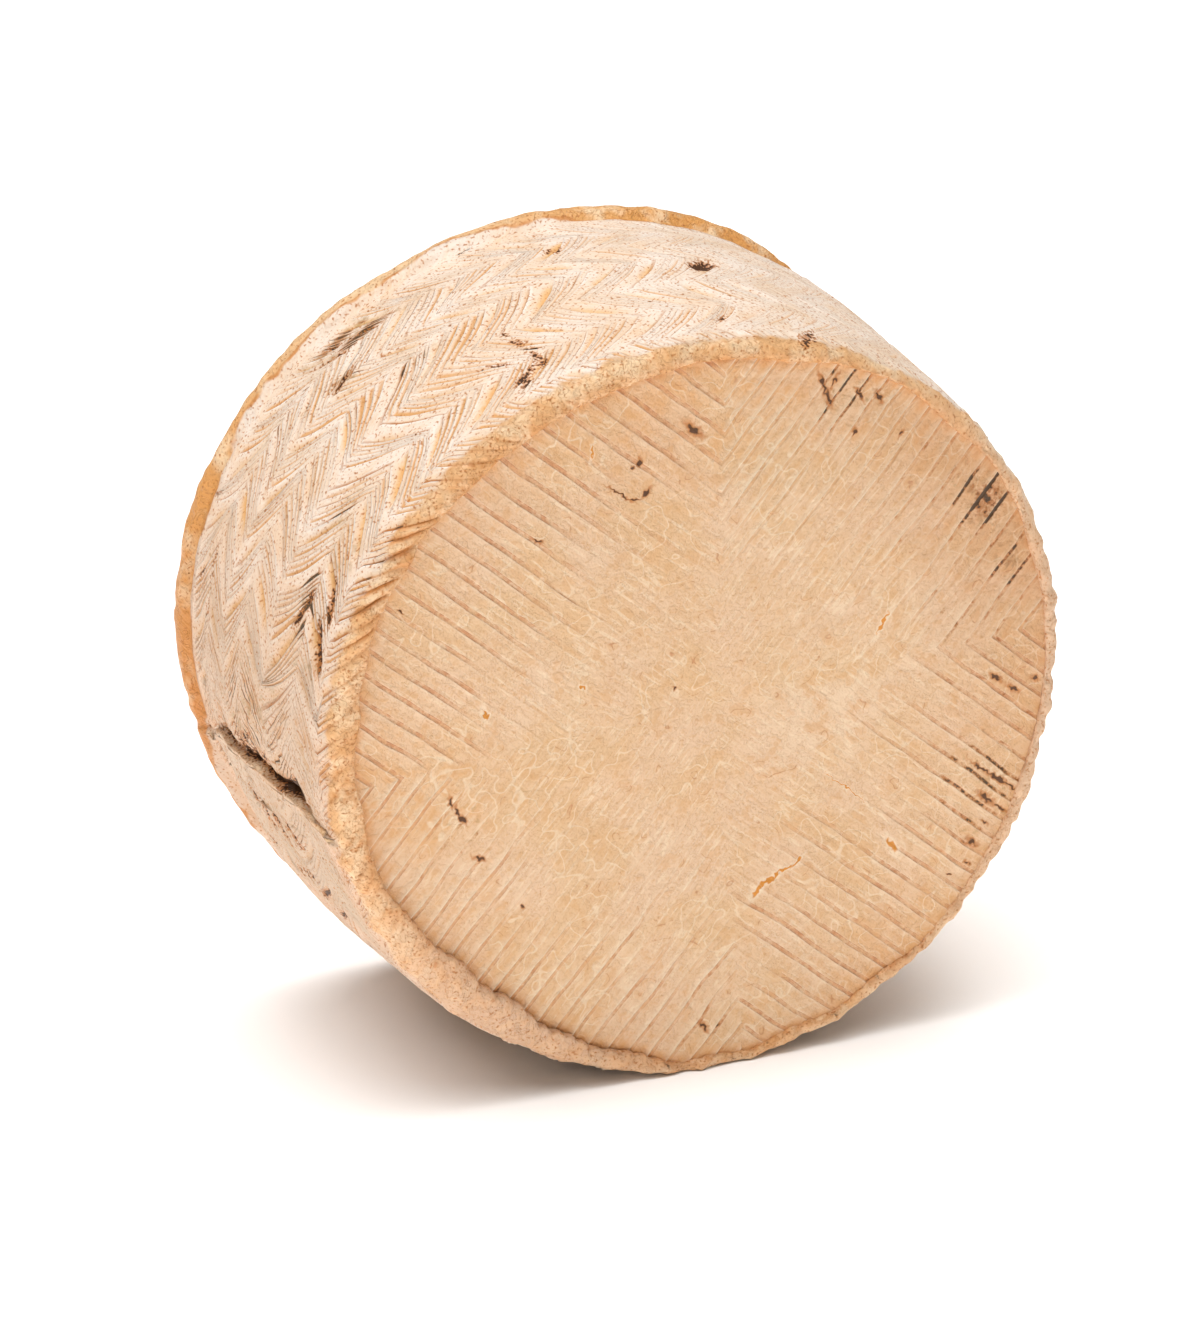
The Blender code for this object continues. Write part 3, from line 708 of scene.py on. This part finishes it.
def boardSurface(board, end):
    # the four fields of one end, merged along their axes, with the ring of points at the lip's foot
    fields, quads, rim = [], [], []
    first = 0
    for quarter in range(4):
        field = fieldGrid(board, end, quarter)
        ids = first + np.arange(field[0].size).reshape(field[0].shape)
        first += ids.size
        quads.append(np.stack(corners(ids), axis=-1).reshape(-1, 4))
        rim.append(ids[:, -1])
        fields.append([value.ravel() for value in (*field, np.full(ids.shape, quarter))])
    x, z, offset, along, remain, quarter = (np.concatenate(values) for values in zip(*fields))
    key = np.round(np.stack((x, z), axis=-1) * 2000).astype(np.int64)
    _, keep, number = np.unique(key, axis=0, return_index=True, return_inverse=True)
    number = number.ravel()
    quad = number[np.concatenate(quads)]
    rim = number[np.concatenate(rim)]
    rim = rim[rim != np.roll(rim, 1)]
    triangles = np.concatenate((quad[:, (0, 1, 2)], quad[:, (0, 2, 3)]))
    a, b, c = triangles.T
    triangles = triangles[(a != b) & (b != c) & (c != a)]
    x, z, offset, along, remain, quarter = (v[keep] for v in (x, z, offset, along, remain, quarter))
    rimAngle = angleOf(x, z)[rim]

    # the print's lines wander a little, but not at the lip's foot
    flat, seed = onFace(x, z), board["seed"]
    free = ease(footRadius(angleOf(x, z), end) - np.hypot(x, z), 0.2, 5)
    x, z = (v + free * (0.4 * lumps(flat, 12, seed + n) + 0.16 * lumps(flat, 4.3, seed + n + 1))
            for v, n in ((x, 70), (z, 75)))
    high, masks = boardRelief(board, x, z, offset, remain, quarter)
    level = faceLevel(x, z, end, board)
    drum = onFace(x, z, level if end == "front" else wheel["width"] - level)
    angle = angleOf(x, z)
    toFoot = footRadius(angle, end) - np.hypot(x, z)

    def patches(kind):
        return [strength * np.exp(-((x - px) ** 2 + (z - pz) ** 2) / reach ** 2)
                for px, pz, reach, strength in board[kind]]

    # footShade: painted shade in a band along the lip's foot, less on the right
    masks["footShade"] = fade(toFoot, 0, 3.5) * (1 - 0.8 * hump(angle, -5, 75))
    # side: painted shade, the face darker towards its right edge
    masks["side"] = 0.62 * hump(angle, 22, 64) * fade(toFoot, 2, 50)
    masks["mould"] = np.max(patches("mould"), axis=0)
    # painted shade: darker and warmer towards the lip, most at the top; the listed warm patches are the
    # rind's own tint
    edgeShade = (0.35 + 0.5 * hump(angle, 80, 85)) * fade(toFoot, 2, 30)
    masks["warm"] = np.max([edgeShade, *patches("warm")], axis=0)
    masks["whiten"] = sum(patches("whiten"))
    high = high + roughness(drum, 0.6)
    drum[:, 1] += -high if end == "front" else high
    return drum, triangles, rim, rimAngle, masks, np.abs(offset), along


def fromLowest(ids, angle):
    # the same ring, starting from its lowest angle
    angle = angle % 360
    first = int(np.argmin(angle))
    return np.roll(ids, -first), np.maximum.accumulate(np.roll(angle, -first))


def corners(grid):
    # the four corners of each cell of a grid, in order
    return grid[:-1, :-1], grid[:-1, 1:], grid[1:, 1:], grid[1:, :-1]


def zipRings(inner, innerAngle, outer, outerAngle):
    # triangles between two closed rings: taken by angle, the next point of either ring closes one triangle
    inner, innerAngle = fromLowest(inner, innerAngle)
    outer, outerAngle = fromLowest(outer, outerAngle)
    isOuter = np.append(np.zeros(len(inner), bool), np.ones(len(outer), bool))
    isOuter = isOuter[np.argsort(np.append(innerAngle, outerAngle), kind="stable")]
    i = np.cumsum(~isOuter) - 1
    j = np.cumsum(isOuter) - 1
    onInner = np.stack((inner[i - 1], inner[i], outer[j]), axis=-1)
    onOuter = np.stack((outer[j], outer[j - 1], inner[i]), axis=-1)
    return np.where(isOuter[:, None], onOuter, onInner)


def layDown(points):
    # tilt the axis until both rims touch the floor, move it to its place, and press flat what would sink in
    rise = rimRadius(270, "back") - rimRadius(270, "front")
    tilt = math.atan2(rise, wheel["width"] - wheel["touching"])
    x, y, z = points.T
    turned = (x, y * math.cos(tilt) - z * math.sin(tilt), y * math.sin(tilt) + z * math.cos(tilt))
    lying = np.stack(turned, axis=-1) + np.array(wheel["axisPlace"])
    lying[:, 2] = np.maximum(lying[:, 2], 0)
    return lying * mm


def wheelMesh():
    # the wall and both faces as one closed mesh: points, triangles, material numbers, strand map and masks
    points, wallMasks, across, alongWall = wallSurface()
    rows, columns = across.shape
    print("wall surface:", rows, "rows of", columns)
    ids = np.arange(rows * columns).reshape(rows, columns)
    points = points.reshape(-1, 3)

    def closed(grid, more=0):
        # the first column again at the end, to close the wall
        return np.concatenate((grid, grid[:, :1] + more), axis=1)

    a, b, c, d = (points[k] for k in corners(closed(ids)))
    short = (np.linalg.norm(a - c, axis=-1) < np.linalg.norm(b - d, axis=-1))[..., None]

    def cut(grid):
        # each cell as two triangles along its shorter diagonal
        a, b, c, d = corners(grid)
        one = np.where(short, np.stack((a, b, c), -1), np.stack((a, b, d), -1))
        two = np.where(short, np.stack((a, c, d), -1), np.stack((b, c, d), -1))
        return np.concatenate((one.reshape(-1, 3), two.reshape(-1, 3)))

    faces = [cut(closed(ids))]
    strands = plait["bundles"] * (plait["flutes"] + 1)
    wallMap = np.stack((cut(closed(across, strands)), cut(closed(alongWall))), axis=-1).reshape(-1, 2)
    places, allMasks = [points], [wallMasks]
    pointMap = [np.stack((across.ravel(), alongWall.ravel()), axis=-1)]
    first = rows * columns
    for board, end, row in ((frontBoard, "front", ids[0]), (backBoard, "back", ids[-1])):
        drum, triangles, rim, rimAngle, masks, offset, along = boardSurface(board, end)
        print(end, "face:", len(drum), "points")
        ring = zipRings(rim + first, rimAngle, row, angleOf(points[row][:, 0], points[row][:, 2]))
        # the back's triangles are turned round, so that they face outwards too
        order = slice(None) if end == "front" else slice(None, None, -1)
        faces += [(triangles + first)[:, order], ring[:, order]]
        places.append(drum)
        allMasks.append(masks)
        pointMap.append(np.stack((offset, along), axis=-1))
        first += len(drum)

    slots = np.repeat((0, 1), (len(faces[0]), sum(len(f) for f in faces[1:])))
    boards = np.concatenate(faces[1:])
    strandMap = np.concatenate((wallMap, np.concatenate(pointMap)[boards.ravel()]))
    names = sorted({name for masks in allMasks for name in masks})
    masks = {name: np.concatenate([np.ravel(m.get(name, np.zeros(len(p)))) for m, p in zip(allMasks, places)])
             for name in names}
    return layDown(np.concatenate(places)), np.concatenate(faces), slots, strandMap, masks


def nearMarks(points, faces):
    # the front end's triangles within reach of a mark, which alone need the rind that draws the marks
    middle = points[faces].mean(axis=1) / mm
    x, z = middle[:, 0] - wheel["axisPlace"][0], middle[:, 2] - wheel["axisPlace"][2]
    near = np.zeros(len(faces), bool)
    for x0, z0, x1, z1, width in faceDark + faceOrange:
        dx, dz = x1 - x0, z1 - z0
        part = np.clip(((x - x0) * dx + (z - z0) * dz) / (dx * dx + dz * dz), 0, 1)
        reach = 0.7 * math.hypot(dx, dz) + 2.5 * width + 1.5
        near |= np.hypot(x - x0 - part * dx, z - z0 - part * dz) < reach
    return near & (middle[:, 1] < 0)


def makeWheel():
    points, faces, slots, strandMap, masks = wheelMesh()
    slots = np.where((slots == 1) & nearMarks(points, faces), 2, slots)
    mesh = bpy.data.meshes.new("goatCheeseWheel")
    mesh.vertices.add(len(points))
    mesh.loops.add(faces.size)
    mesh.polygons.add(len(faces))

    def fill(holder, key, values, kind=np.float32):
        holder.foreach_set(key, values.astype(kind).ravel())

    fill(mesh.vertices, "co", points)
    fill(mesh.loops, "vertex_index", faces, np.int32)
    fill(mesh.polygons, "loop_start", np.arange(0, faces.size, 3), np.int32)
    fill(mesh.polygons, "material_index", slots, np.int32)
    fill(mesh.uv_layers.new(name="strandMap").data, "uv", strandMap)
    for name, values in masks.items():
        fill(mesh.attributes.new(name, "FLOAT", "POINT").data, "value", values)
    mesh.update(calc_edges=True)
    mesh.shade_smooth()
    for material in (plaitedRind(), boardRind("boardRind", False), boardRind("markedRind", True)):
        mesh.materials.append(material)
    piece = bpy.data.objects.new("goatCheeseWheel", mesh)
    bpy.context.scene.collection.objects.link(piece)
    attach(piece, "root")
    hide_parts("cheese")
    print("wheel:", len(points), "points,", len(faces), "triangles")
    return piece


# Materials

rindColours = {
    "cream": (250, 234, 219),
    "straw": (242, 215, 188),
    # pale fibres, and the painted highlight on the ridges
    "pale": (254, 246, 236),
    "ochre": (238, 190, 130),
    # painted shade in the deepest part of the hollows
    "hollowShade": (214, 148, 78),
    # painted shade on the strands' sunk sides and in the splits between fibres
    "gapShade": (230, 172, 112),
    # a thin line of painted shade along each strand's deep edge
    "lineShade": (190, 120, 62),
    # painted shade laid over the sides that face away from the light
    "sideShade": (228, 205, 184),
    "wax": (239, 187, 132),
    # the wax's deeper grains, and painted shade in its valleys, wrinkles and towards its inner edge
    "waxDeepAndShade": (214, 144, 80),
    "waxPale": (250, 216, 174),
    "amber": (230, 166, 94),
    "pink": (223, 184, 152),
    "greyWhite": (202, 180, 154),
    "mould": (174, 142, 100),
    "mouldDark": (84, 62, 36),
    "dark": (80, 46, 16),
    "peach": (226, 186, 142),
    "tanPatch": (216, 166, 115),
    "pinkPatch": (230, 194, 159),
    "thread": (241, 216, 184),
    "grooveBrown": (206, 142, 96),
    "edgeBrown": (184, 114, 64),
    "rimBrown": (190, 118, 56),
    "boardEdge": (228, 190, 156),
    # painted highlight on the raised lines; also the pale rim of the orange tears
    "hairPale": (251, 234, 208),
    # the rind's warm tint patches, and painted shade towards the lip and along its foot
    "warmTintAndShade": (220, 156, 92),
    "tearOrange": (216, 140, 50),
}


def colour(name):
    # a colour from the list above, from screen values to light values
    return tuple(((c / 255 + 0.055) / 1.055) ** 2.4 for c in rindColours[name]) + (1,)


class Pattern:
    # one output of a node; each sum, product or step of patterns adds the node that works it out

    def __init__(self, tree, kind, inputs=None, output=0, **settings):
        # a new node of this kind: its settings, then its inputs, as values or as links from other patterns
        node = tree.nodes.new(kind)
        for key, value in settings.items():
            setattr(node, key, value)
        for key, value in (inputs or {}).items():
            if isinstance(value, Pattern):
                tree.links.new(value.socket, node.inputs[key])
            else:
                node.inputs[key].default_value = value
        self.tree, self.socket = tree, node.outputs[output]

    def maths(self, operation, second=0, **settings):
        return Pattern(self.tree, "ShaderNodeMath", {0: self, 1: second}, operation=operation, **settings)

    def __add__(self, other):
        return self.maths("ADD", other)

    def __sub__(self, other):
        return self.maths("SUBTRACT", other)

    def __mul__(self, other):
        return self.maths("MULTIPLY", other)

    def limited(self, share):
        # this times a share, kept between nothing and one
        return self.maths("MULTIPLY", share, use_clamp=True)

    def axis(self, name):
        return Pattern(self.tree, "ShaderNodeSeparateXYZ", {"Vector": self}, name)

    def step(self, low, high, toLow=0, toHigh=1):
        # toLow below low, toHigh above high, eased between them
        ends = {"Value": self, "From Min": low, "From Max": high, "To Min": toLow, "To Max": toHigh}
        return Pattern(self.tree, "ShaderNodeMapRange", ends, interpolation_type="SMOOTHSTEP")

    def band(self, low, high):
        # one at distances below low, nothing above high
        return self.step(low, high, 1, 0)

    def line(self, level, low, high):
        # a thin line where the pattern crosses this level
        return (self - level).maths("ABSOLUTE").band(low, high)


def mask(tree, name):
    return Pattern(tree, "ShaderNodeAttribute", output="Fac", attribute_name=name)


def mixed(amount, first, second, blend="MIX"):
    # from the first colour to the second by this amount, where a name stands for its colour
    first, second = (colour(c) if isinstance(c, str) else c for c in (first, second))
    inputs = {0: amount, 6: first, 7: second}
    return Pattern(amount.tree, "ShaderNodeMix", inputs, 2, data_type="RGBA", blend_type=blend)


def layered(base, *layers):
    # the named colours laid over the base one after another, each by its own amount
    for amount, name in layers:
        base = mixed(amount, base, name)
    return base


def cloud(place, scale, detail=0, roughness=0.55, output="Fac"):
    settings = {"Vector": place, "Scale": scale, "Detail": detail, "Roughness": roughness}
    return Pattern(place.tree, "ShaderNodeTexNoise", settings, output)


def drawnOut(strand, across, along, roughness):
    # a cloud drawn out along the strands, from its scale across them and along them
    place = Pattern(strand.tree, "ShaderNodeMapping", {"Vector": strand, "Scale": (across, along, 1)})
    return cloud(place, 1, 2, roughness)


def vectorMaths(operation, output, *terms):
    return Pattern(terms[0].tree, "ShaderNodeVectorMath", dict(enumerate(terms)), output, operation=operation)


def newRind(name):
    # a new material, its node tree, the place in space and the place on the strand map
    material = bpy.data.materials.new(name)
    material.use_nodes = True
    tree = material.node_tree
    place = Pattern(tree, "ShaderNodeTexCoord", output="Object")
    return material, tree, place, Pattern(tree, "ShaderNodeUVMap", output="UV", uv_map="strandMap")


def rindShader(base, rough, bumps):
    # a dry, slightly waxy surface, whose relief is the sum of these patterns, each times its height in mm
    shader = base.tree.nodes["Principled BSDF"]
    raised = [pattern * high for pattern, high in bumps]
    relief = {"Height": sum(raised[1:], raised[0]), "Distance": mm, "Strength": 1}
    bump = Pattern(base.tree, "ShaderNodeBump", relief, "Normal")
    for key, value in (("Base Color", base), ("Roughness", rough), ("Normal", bump)):
        base.tree.links.new(value.socket, shader.inputs[key])
    shader.inputs["Specular IOR Level"].default_value = 0.4


def mouldOver(base, soft, wide, spots, creases):
    # a grey-brown film that thickens in the creases, and dark streaks where the spots' noise peaks
    region = mask(base.tree, "mould")
    film = region * (creases * 0.5 + 0.5) + (soft * 1.4 + wide * 1.1 - 1.25)
    spots = spots + region * 0.5 + (creases - 1) * 0.22
    return layered(base, (film.step(0.3, 0.9) * region.step(0.02, 0.25, 0.08, 0.75), "mould"),
                   (spots.step(0.64, 0.84) * 0.8, "rimBrown"), (spots.step(0.78, 0.9), "mouldDark"))


def pitsOver(base, ragged):
    # dark pits and cracks with ragged edges, and painted shade in the crevice under the flap
    pit = mask(base.tree, "pit") + (ragged - 0.5) * 1.5
    return layered(base, (pit.step(0.1, 0.5) * 0.85, "rimBrown"), (pit.step(0.52, 0.7), "dark"))


def waxColour(tree, melted, curds, grain, wrinkles):
    # yellow wax with pale patches, deeper in its grains, with painted shade in its valleys and wrinkles and
    # towards its inner edge
    return layered(
        mixed(melted.step(0.38, 0.64), "waxPale", "wax"),
        (curds.step(0.57, 0.7, 0, 0.4), "waxDeepAndShade"),
        (mask(tree, "valley").limited(1.1), "waxDeepAndShade"),
        (mask(tree, "inner") * grain.step(0.4, 0.6, 0.3, 0.8), "waxDeepAndShade"),
        (mask(tree, "pink") * curds.step(0.4, 0.64, 1, 0.6), "pink"),
        (mask(tree, "paleEdge"), "boardEdge"),
        (wrinkles * 0.3, "waxDeepAndShade"),
        (curds.step(0.68, 0.74) * 0.5, "rimBrown"))


def amberOver(base, tree, melted, patches):
    # the amber wax of the back lip, with a deeper line along its ragged edge
    toAmber = mask(tree, "amber") + (patches - 0.5) * 0.9
    amber = mixed(melted.step(0.46, 0.7), "amber", "waxPale")
    amber = mixed(mask(tree, "paleEdge") * 0.75, amber, "waxPale")
    # painted shade on the back lip's shaded side
    amber = mixed(mask(tree, "side"), amber, "sideShade", "MULTIPLY")
    base = mixed(toAmber.step(0.46, 0.56), base, amber)
    return mixed(toAmber.line(0.53, 0.02, 0.09) * melted.step(0.62, 0.4, 0.1, 0.9), base, "waxDeepAndShade")


def plaitedRind():
    # cream strands with pale fibres and ridges painted pale as highlights, ochre hollows with painted shade
    # deeper in, painted shade on the strands' sunk sides and splits, yellow waxy lips, mould between the
    # strands
    material, tree, place, strand = newRind("plaitedRind")
    turn, along = strand.axis("X"), strand.axis("Y")
    printed = mask(tree, "print")
    across = turn.maths("FRACT")
    column = (along * (1 / plait["columnLength"])).maths("FLOOR")
    # from the deep side of a strand to its ridge, which changes sides from column to column
    fromDeep = across + (across * -2 + 1) * column.maths("PINGPONG", 1)
    fibres, streaks = drawnOut(strand, 3.4, 0.16, 0.66), drawnOut(strand, 1.1, 0.07, 0.6)
    patches, grain, fine = cloud(place, 70, 2, 0.6), cloud(place, 430, 2, 0.68), cloud(place, 1500)
    melted, curds = cloud(place, 130, 2, 0.62), cloud(place, 330, 2, 0.65)
    cell = Pattern(tree, "ShaderNodeCombineXYZ", {"X": turn.maths("FLOOR"), "Y": column})
    chance = Pattern(tree, "ShaderNodeTexWhiteNoise", {"Vector": cell}, "Value", noise_dimensions="2D")

    # the hollows: partly the rind's ochre tint, partly painted shade that deepens with their depth
    hollow = mask(tree, "hollow") * grain.step(0.2, 0.6, 0.75, 1.1)
    # splits: thin lines of painted shade between the fibres
    splits = fibres.line(0.5, 0, 0.035) * (printed * 0.85 + 0.1) * grain.step(0.38, 0.6)
    # ridge: a painted highlight along each strand's ridge
    ridge = fromDeep.step(0.84, 0.97) * printed
    # gap: a thin line of painted shade along each strand's deep edge, beside the next strand's ridge
    gap = (fromDeep + (fibres - 0.5) * 0.3).band(0.08, 0.26) * printed
    gap = gap * (streaks + chance * 0.35).step(0.45, 0.8, 0.1, 1)
    base = layered(
        mixed(patches.step(0.35, 0.68), "cream", "straw"),
        (chance * printed * 0.35, "straw"),
        (streaks.step(0.52, 0.72) * 0.25, "ochre"),
        (fibres.step(0.48, 0.7) * 0.4, "pale"),
        (grain.step(0.56, 0.72) * 0.3, "straw"),
        # ochre in the hollows, then painted shade deeper in
        (hollow.step(0.12, 0.85), "ochre"),
        (hollow.step(0.6, 1.3) * 0.8, "hollowShade"),
        # painted shade over each strand's sunk side and in its splits
        (mask(tree, "sunk").step(0.15, 0.6) * streaks.step(0.3, 0.6, 0.5, 1), "gapShade"),
        (splits * 0.35, "gapShade"),
        # painted highlight on the ridges
        (ridge * 0.75, "pale"),
        # painted shade line along the strands' deep edges
        (gap.limited(0.9), "lineShade"))
    # painted shade on the wall's left and lower left
    base = mixed(mask(tree, "side"), base, "sideShade", "MULTIPLY")

    wrinkles = curds.line(0.47, 0, 0.022)
    waxed = (mask(tree, "wax") + (melted - 0.5) * 0.8).step(0.38, 0.64)
    base = mixed(waxed, base, waxColour(tree, melted, curds, grain, wrinkles))
    base = amberOver(base, tree, melted, patches)
    base = mixed(mask(tree, "grey") * 0.7, base, "greyWhite")
    creases = fromDeep.band(0.08, 0.5) * printed
    base = mouldOver(base, grain, patches, fibres * 0.9 + creases * 0.2, creases)
    base = pitsOver(base, fine)

    smooth = mask(tree, "wax").maths("MAXIMUM", mask(tree, "amber")).step(0.3, 0.7)
    waxLumps = smooth * (melted + curds * 0.9 - wrinkles * 0.12)
    rindShader(base, smooth.step(0, 1, 0.62, 0.45), (
        (ridge, 0.12), (gap, -0.12), (waxLumps, 1), (fibres, 0.24), (grain, 0.42), (fine, 0.1)))
    return material


def nearest(place, marks):
    # distance to the nearest of these long marks, counted in their own half widths and half lengths
    found = None
    for x0, z0, x1, z1, width in marks:
        long = math.hypot(x1 - x0, z1 - z0)
        half = 0.5 * long + width
        middle = (0.5 * (x0 + x1) + wheel["axisPlace"][0], 0.5 * (z0 + z1) + wheel["axisPlace"][2])
        ahead = ((x1 - x0) / long, (z1 - z0) / long)
        squares = []
        for (dx, dz), size in ((ahead, half), ((-ahead[1], ahead[0]), width)):
            along = vectorMaths("DOT_PRODUCT", "Value", place, (dx / (mm * size), 0, dz / (mm * size)))
            along = along + -(middle[0] * dx + middle[1] * dz) / size
            squares.append(along * along)
        both = squares[0] + squares[1]
        found = found.maths("MINIMUM", both) if found else both
    return found.maths("SQRT")


def marksOver(base, place):
    # the orange tears and the dark marks of the front face, with ragged edges and a paler or browner rim
    ragged = vectorMaths("MULTIPLY_ADD", 0, cloud(place, 900, 0, 0.5, "Color"), (0.0016,) * 3, (-0.0008,) * 3)
    jagged = vectorMaths("ADD", 0, place, ragged)
    toDark, toOrange = nearest(jagged, faceDark), nearest(jagged, faceOrange)
    return layered(
        base,
        (toOrange.step(0.9, 2.4, 0.45, 0), "hairPale"),
        (toOrange.band(0.6, 1.15), "tearOrange"),
        (toDark.step(0.9, 2.2, 0.85, 0), "rimBrown"),
        (toDark.step(0.6, 1.1, 0.95, 0), "dark"))


def boardRind(name, marked):
    # peach with pink and tan patches and pale threads, brown lines along the grooves, painted highlights on
    # the raised lines beside them, and painted shade towards the lip and the right edge
    material, tree, place, strand = newRind(name)
    large, small, specks = cloud(place, 42, 2, 0.6), cloud(place, 230, 3, 0.66), cloud(place, 560, 2, 0.66)
    fine, twisted = cloud(place, 1700), cloud(place, 150, 1, 0.5)
    strokes = drawnOut(strand, 0.85, 0.11, 0.62)

    # the print: mm from the middle of the nearest groove, its brown bed, its two edges and the raised line's
    # painted highlight
    phase = (strand.axis("X") * (1 / frontBoard["pitch"]) + 0.5).maths("FRACT")
    distance = (phase - 0.5).maths("ABSOLUTE") * frontBoard["pitch"]
    uneven = specks.step(0.36, 0.62)
    groove = mask(tree, "groove") * (uneven * 0.6 + 0.25)
    edge = (distance - (small * 0.3 + 0.3)).maths("ABSOLUTE").band(0.03, 0.13)
    edge = edge * (mask(tree, "brown") * uneven)
    # painted highlight along the raised lines
    hairline = mask(tree, "hairline") * specks.step(0.3, 0.5, 0.5, 1)
    creased = small.line(0.47, 0, 0.016)
    base = layered(
        mixed(large.step(0.36, 0.64), "pinkPatch", "peach"),
        (small.step(0.53, 0.62) * 0.45, "tanPatch"),
        (small.step(0.46, 0.3) * 0.5, "pinkPatch"),
        (strokes.step(0.52, 0.72) * 0.35, "tanPatch"),
        (strokes.step(0.46, 0.32) * 0.6, "thread"),
        (specks.step(0.58, 0.7) * 0.5, "tanPatch"),
        (creased * 0.45, "tanPatch"),
        # warm tint patches, with painted shade towards the lip
        (mask(tree, "warm") * small.step(0.35, 0.65, 0.5, 1) * 0.6, "warmTintAndShade"),
        ((mask(tree, "whiten") * small.step(0.6, 0.4)).limited(0.6), "thread"),
        (twisted.line(0.5, 0, 0.022) * large.step(0.4, 0.58) * 0.65, "thread"),
        (twisted.line(0.6, 0, 0.012) * small.step(0.5, 0.62) * 0.6, "edgeBrown"),
        # painted shade along the lip's foot
        (mask(tree, "footShade") * 0.8, "warmTintAndShade"),
        (groove.limited(0.75), "grooveBrown"),
        (edge.limited(0.75), "edgeBrown"),
        # painted highlight on the raised lines
        (hairline.limited(0.85), "hairPale"))
    spots = specks * 0.8 + distance.band(0.2, 0.6) * (mask(tree, "print") * 0.14)
    base = mouldOver(base, specks, small, spots, distance.band(0.25, 0.7))
    # painted shade towards the face's right
    base = mixed(mask(tree, "side"), base, "sideShade", "MULTIPLY")
    if marked:
        base = marksOver(base, place)
    rindShader(base, small.step(0.3, 0.7, 0.4, 0.55), (
        (strokes, 0.14), (small, 0.5), (specks, 0.34), (hairline, 0.16), (creased, -0.07), (fine, 0.1)))
    return material


wheelPiece = makeWheel()


# Floor, light and camera

studio = {
    "floor": 6,
    "floorLevel": -0.0002,
    "floorFinish": {"Base Color": (0.79, 0.78, 0.772, 1), "Roughness": 0.6, "Specular IOR Level": 0.1},
    "room": (1, 0.94, 0.87, 1),
    "roomStrength": 0.35,
    "aim": (0, 0, 0.08),
    # name, place, size and watts of each soft light, all turned to the aim, and what it lights
    "lights": (
        ("keyLight", (-0.4, -1.6, 2), 0.6, 9, "wheel"),
        ("topLight", (0, 0.1, 1.8), 0.8, 17.5, "wheel"),
        ("leftLight", (-1.6, -0.5, 0.9), 0.9, 5.5, "wheel"),
        ("floorTopLight", (0, 0.25, 2.1), 2.2, 46, "floor"),
        ("floorFrontLight", (0, -0.9, 2.1), 1.4, 15, "floor"),
        ("floorLeftLight", (-1, 0, 1.9), 1.4, 28, "floor"),
        ("floorRightLight", (0.9, 0, 2), 1.4, 16, "floor"),
    ),
}


def newObject(name, data):
    made = bpy.data.objects.new(name, data)
    bpy.context.scene.collection.objects.link(made)
    return made


def makeFloor():
    half, level = 0.5 * studio["floor"], studio["floorLevel"]
    mesh = bpy.data.meshes.new("floor")
    square = [(-half, -half, level), (half, -half, level), (half, half, level), (-half, half, level)]
    mesh.from_pydata(square, [], [(0, 1, 2, 3)])
    material = bpy.data.materials.new("paleFloor")
    material.use_nodes = True
    shader = material.node_tree.nodes["Principled BSDF"]
    for key, value in studio["floorFinish"].items():
        shader.inputs[key].default_value = value
    mesh.materials.append(material)
    floor = newObject("floor", mesh)
    return floor


def makeLights(wheelPiece, floor):
    # a pale room, soft lights for the wheel, and others for the floor, so that its shadow stays close
    lit = {"wheel": bpy.data.collections.new("litWheel"), "floor": bpy.data.collections.new("litFloor")}
    lit["wheel"].objects.link(wheelPiece)
    lit["floor"].objects.link(floor)
    world = bpy.data.worlds.new("room")
    bpy.context.scene.world = world
    world.use_nodes = True
    background = world.node_tree.nodes["Background"]
    background.inputs["Color"].default_value = studio["room"]
    background.inputs["Strength"].default_value = studio["roomStrength"]
    for name, place, size, watts, target in studio["lights"]:
        light = bpy.data.lights.new(name, "AREA")
        light.shape = "DISK"
        light.size = size
        light.energy = watts
        lamp = newObject(name, light)
        lamp.location = place
        lamp.rotation_euler = (Vector(studio["aim"]) - Vector(place)).to_track_quat("-Z", "Y").to_euler()
        lamp.light_linking.receiver_collection = lit[target]


view = {
    "place": (-0.546175, -1.264262, 0.607361),
    "azimuth": -23.044,
    "elevation": 20.579,
    "roll": -0.93,
    "lens": 162.4,
    "sensor": 36,
}


def makeCamera():
    # looking along +Y, the camera rolls, then tilts down by its elevation, then turns round by its azimuth
    azimuth, elevation, roll = (math.radians(view[key]) for key in ("azimuth", "elevation", "roll"))
    data = bpy.data.cameras.new("camera")
    data.lens = view["lens"]
    data.sensor_width = view["sensor"]
    data.clip_start = 0.05
    camera = newObject("camera", data)
    turned = Matrix.Rotation(azimuth, 4, "Z") @ Matrix.Rotation(0.5 * math.pi - elevation, 4, "X")
    camera.matrix_world = Matrix.Translation(view["place"]) @ turned @ Matrix.Rotation(roll, 4, "Z")
    bpy.context.scene.camera = camera


makeLights(wheelPiece, makeFloor())
makeCamera()
bpy.context.scene.view_settings.view_transform = "Standard"
print("studio and camera made")
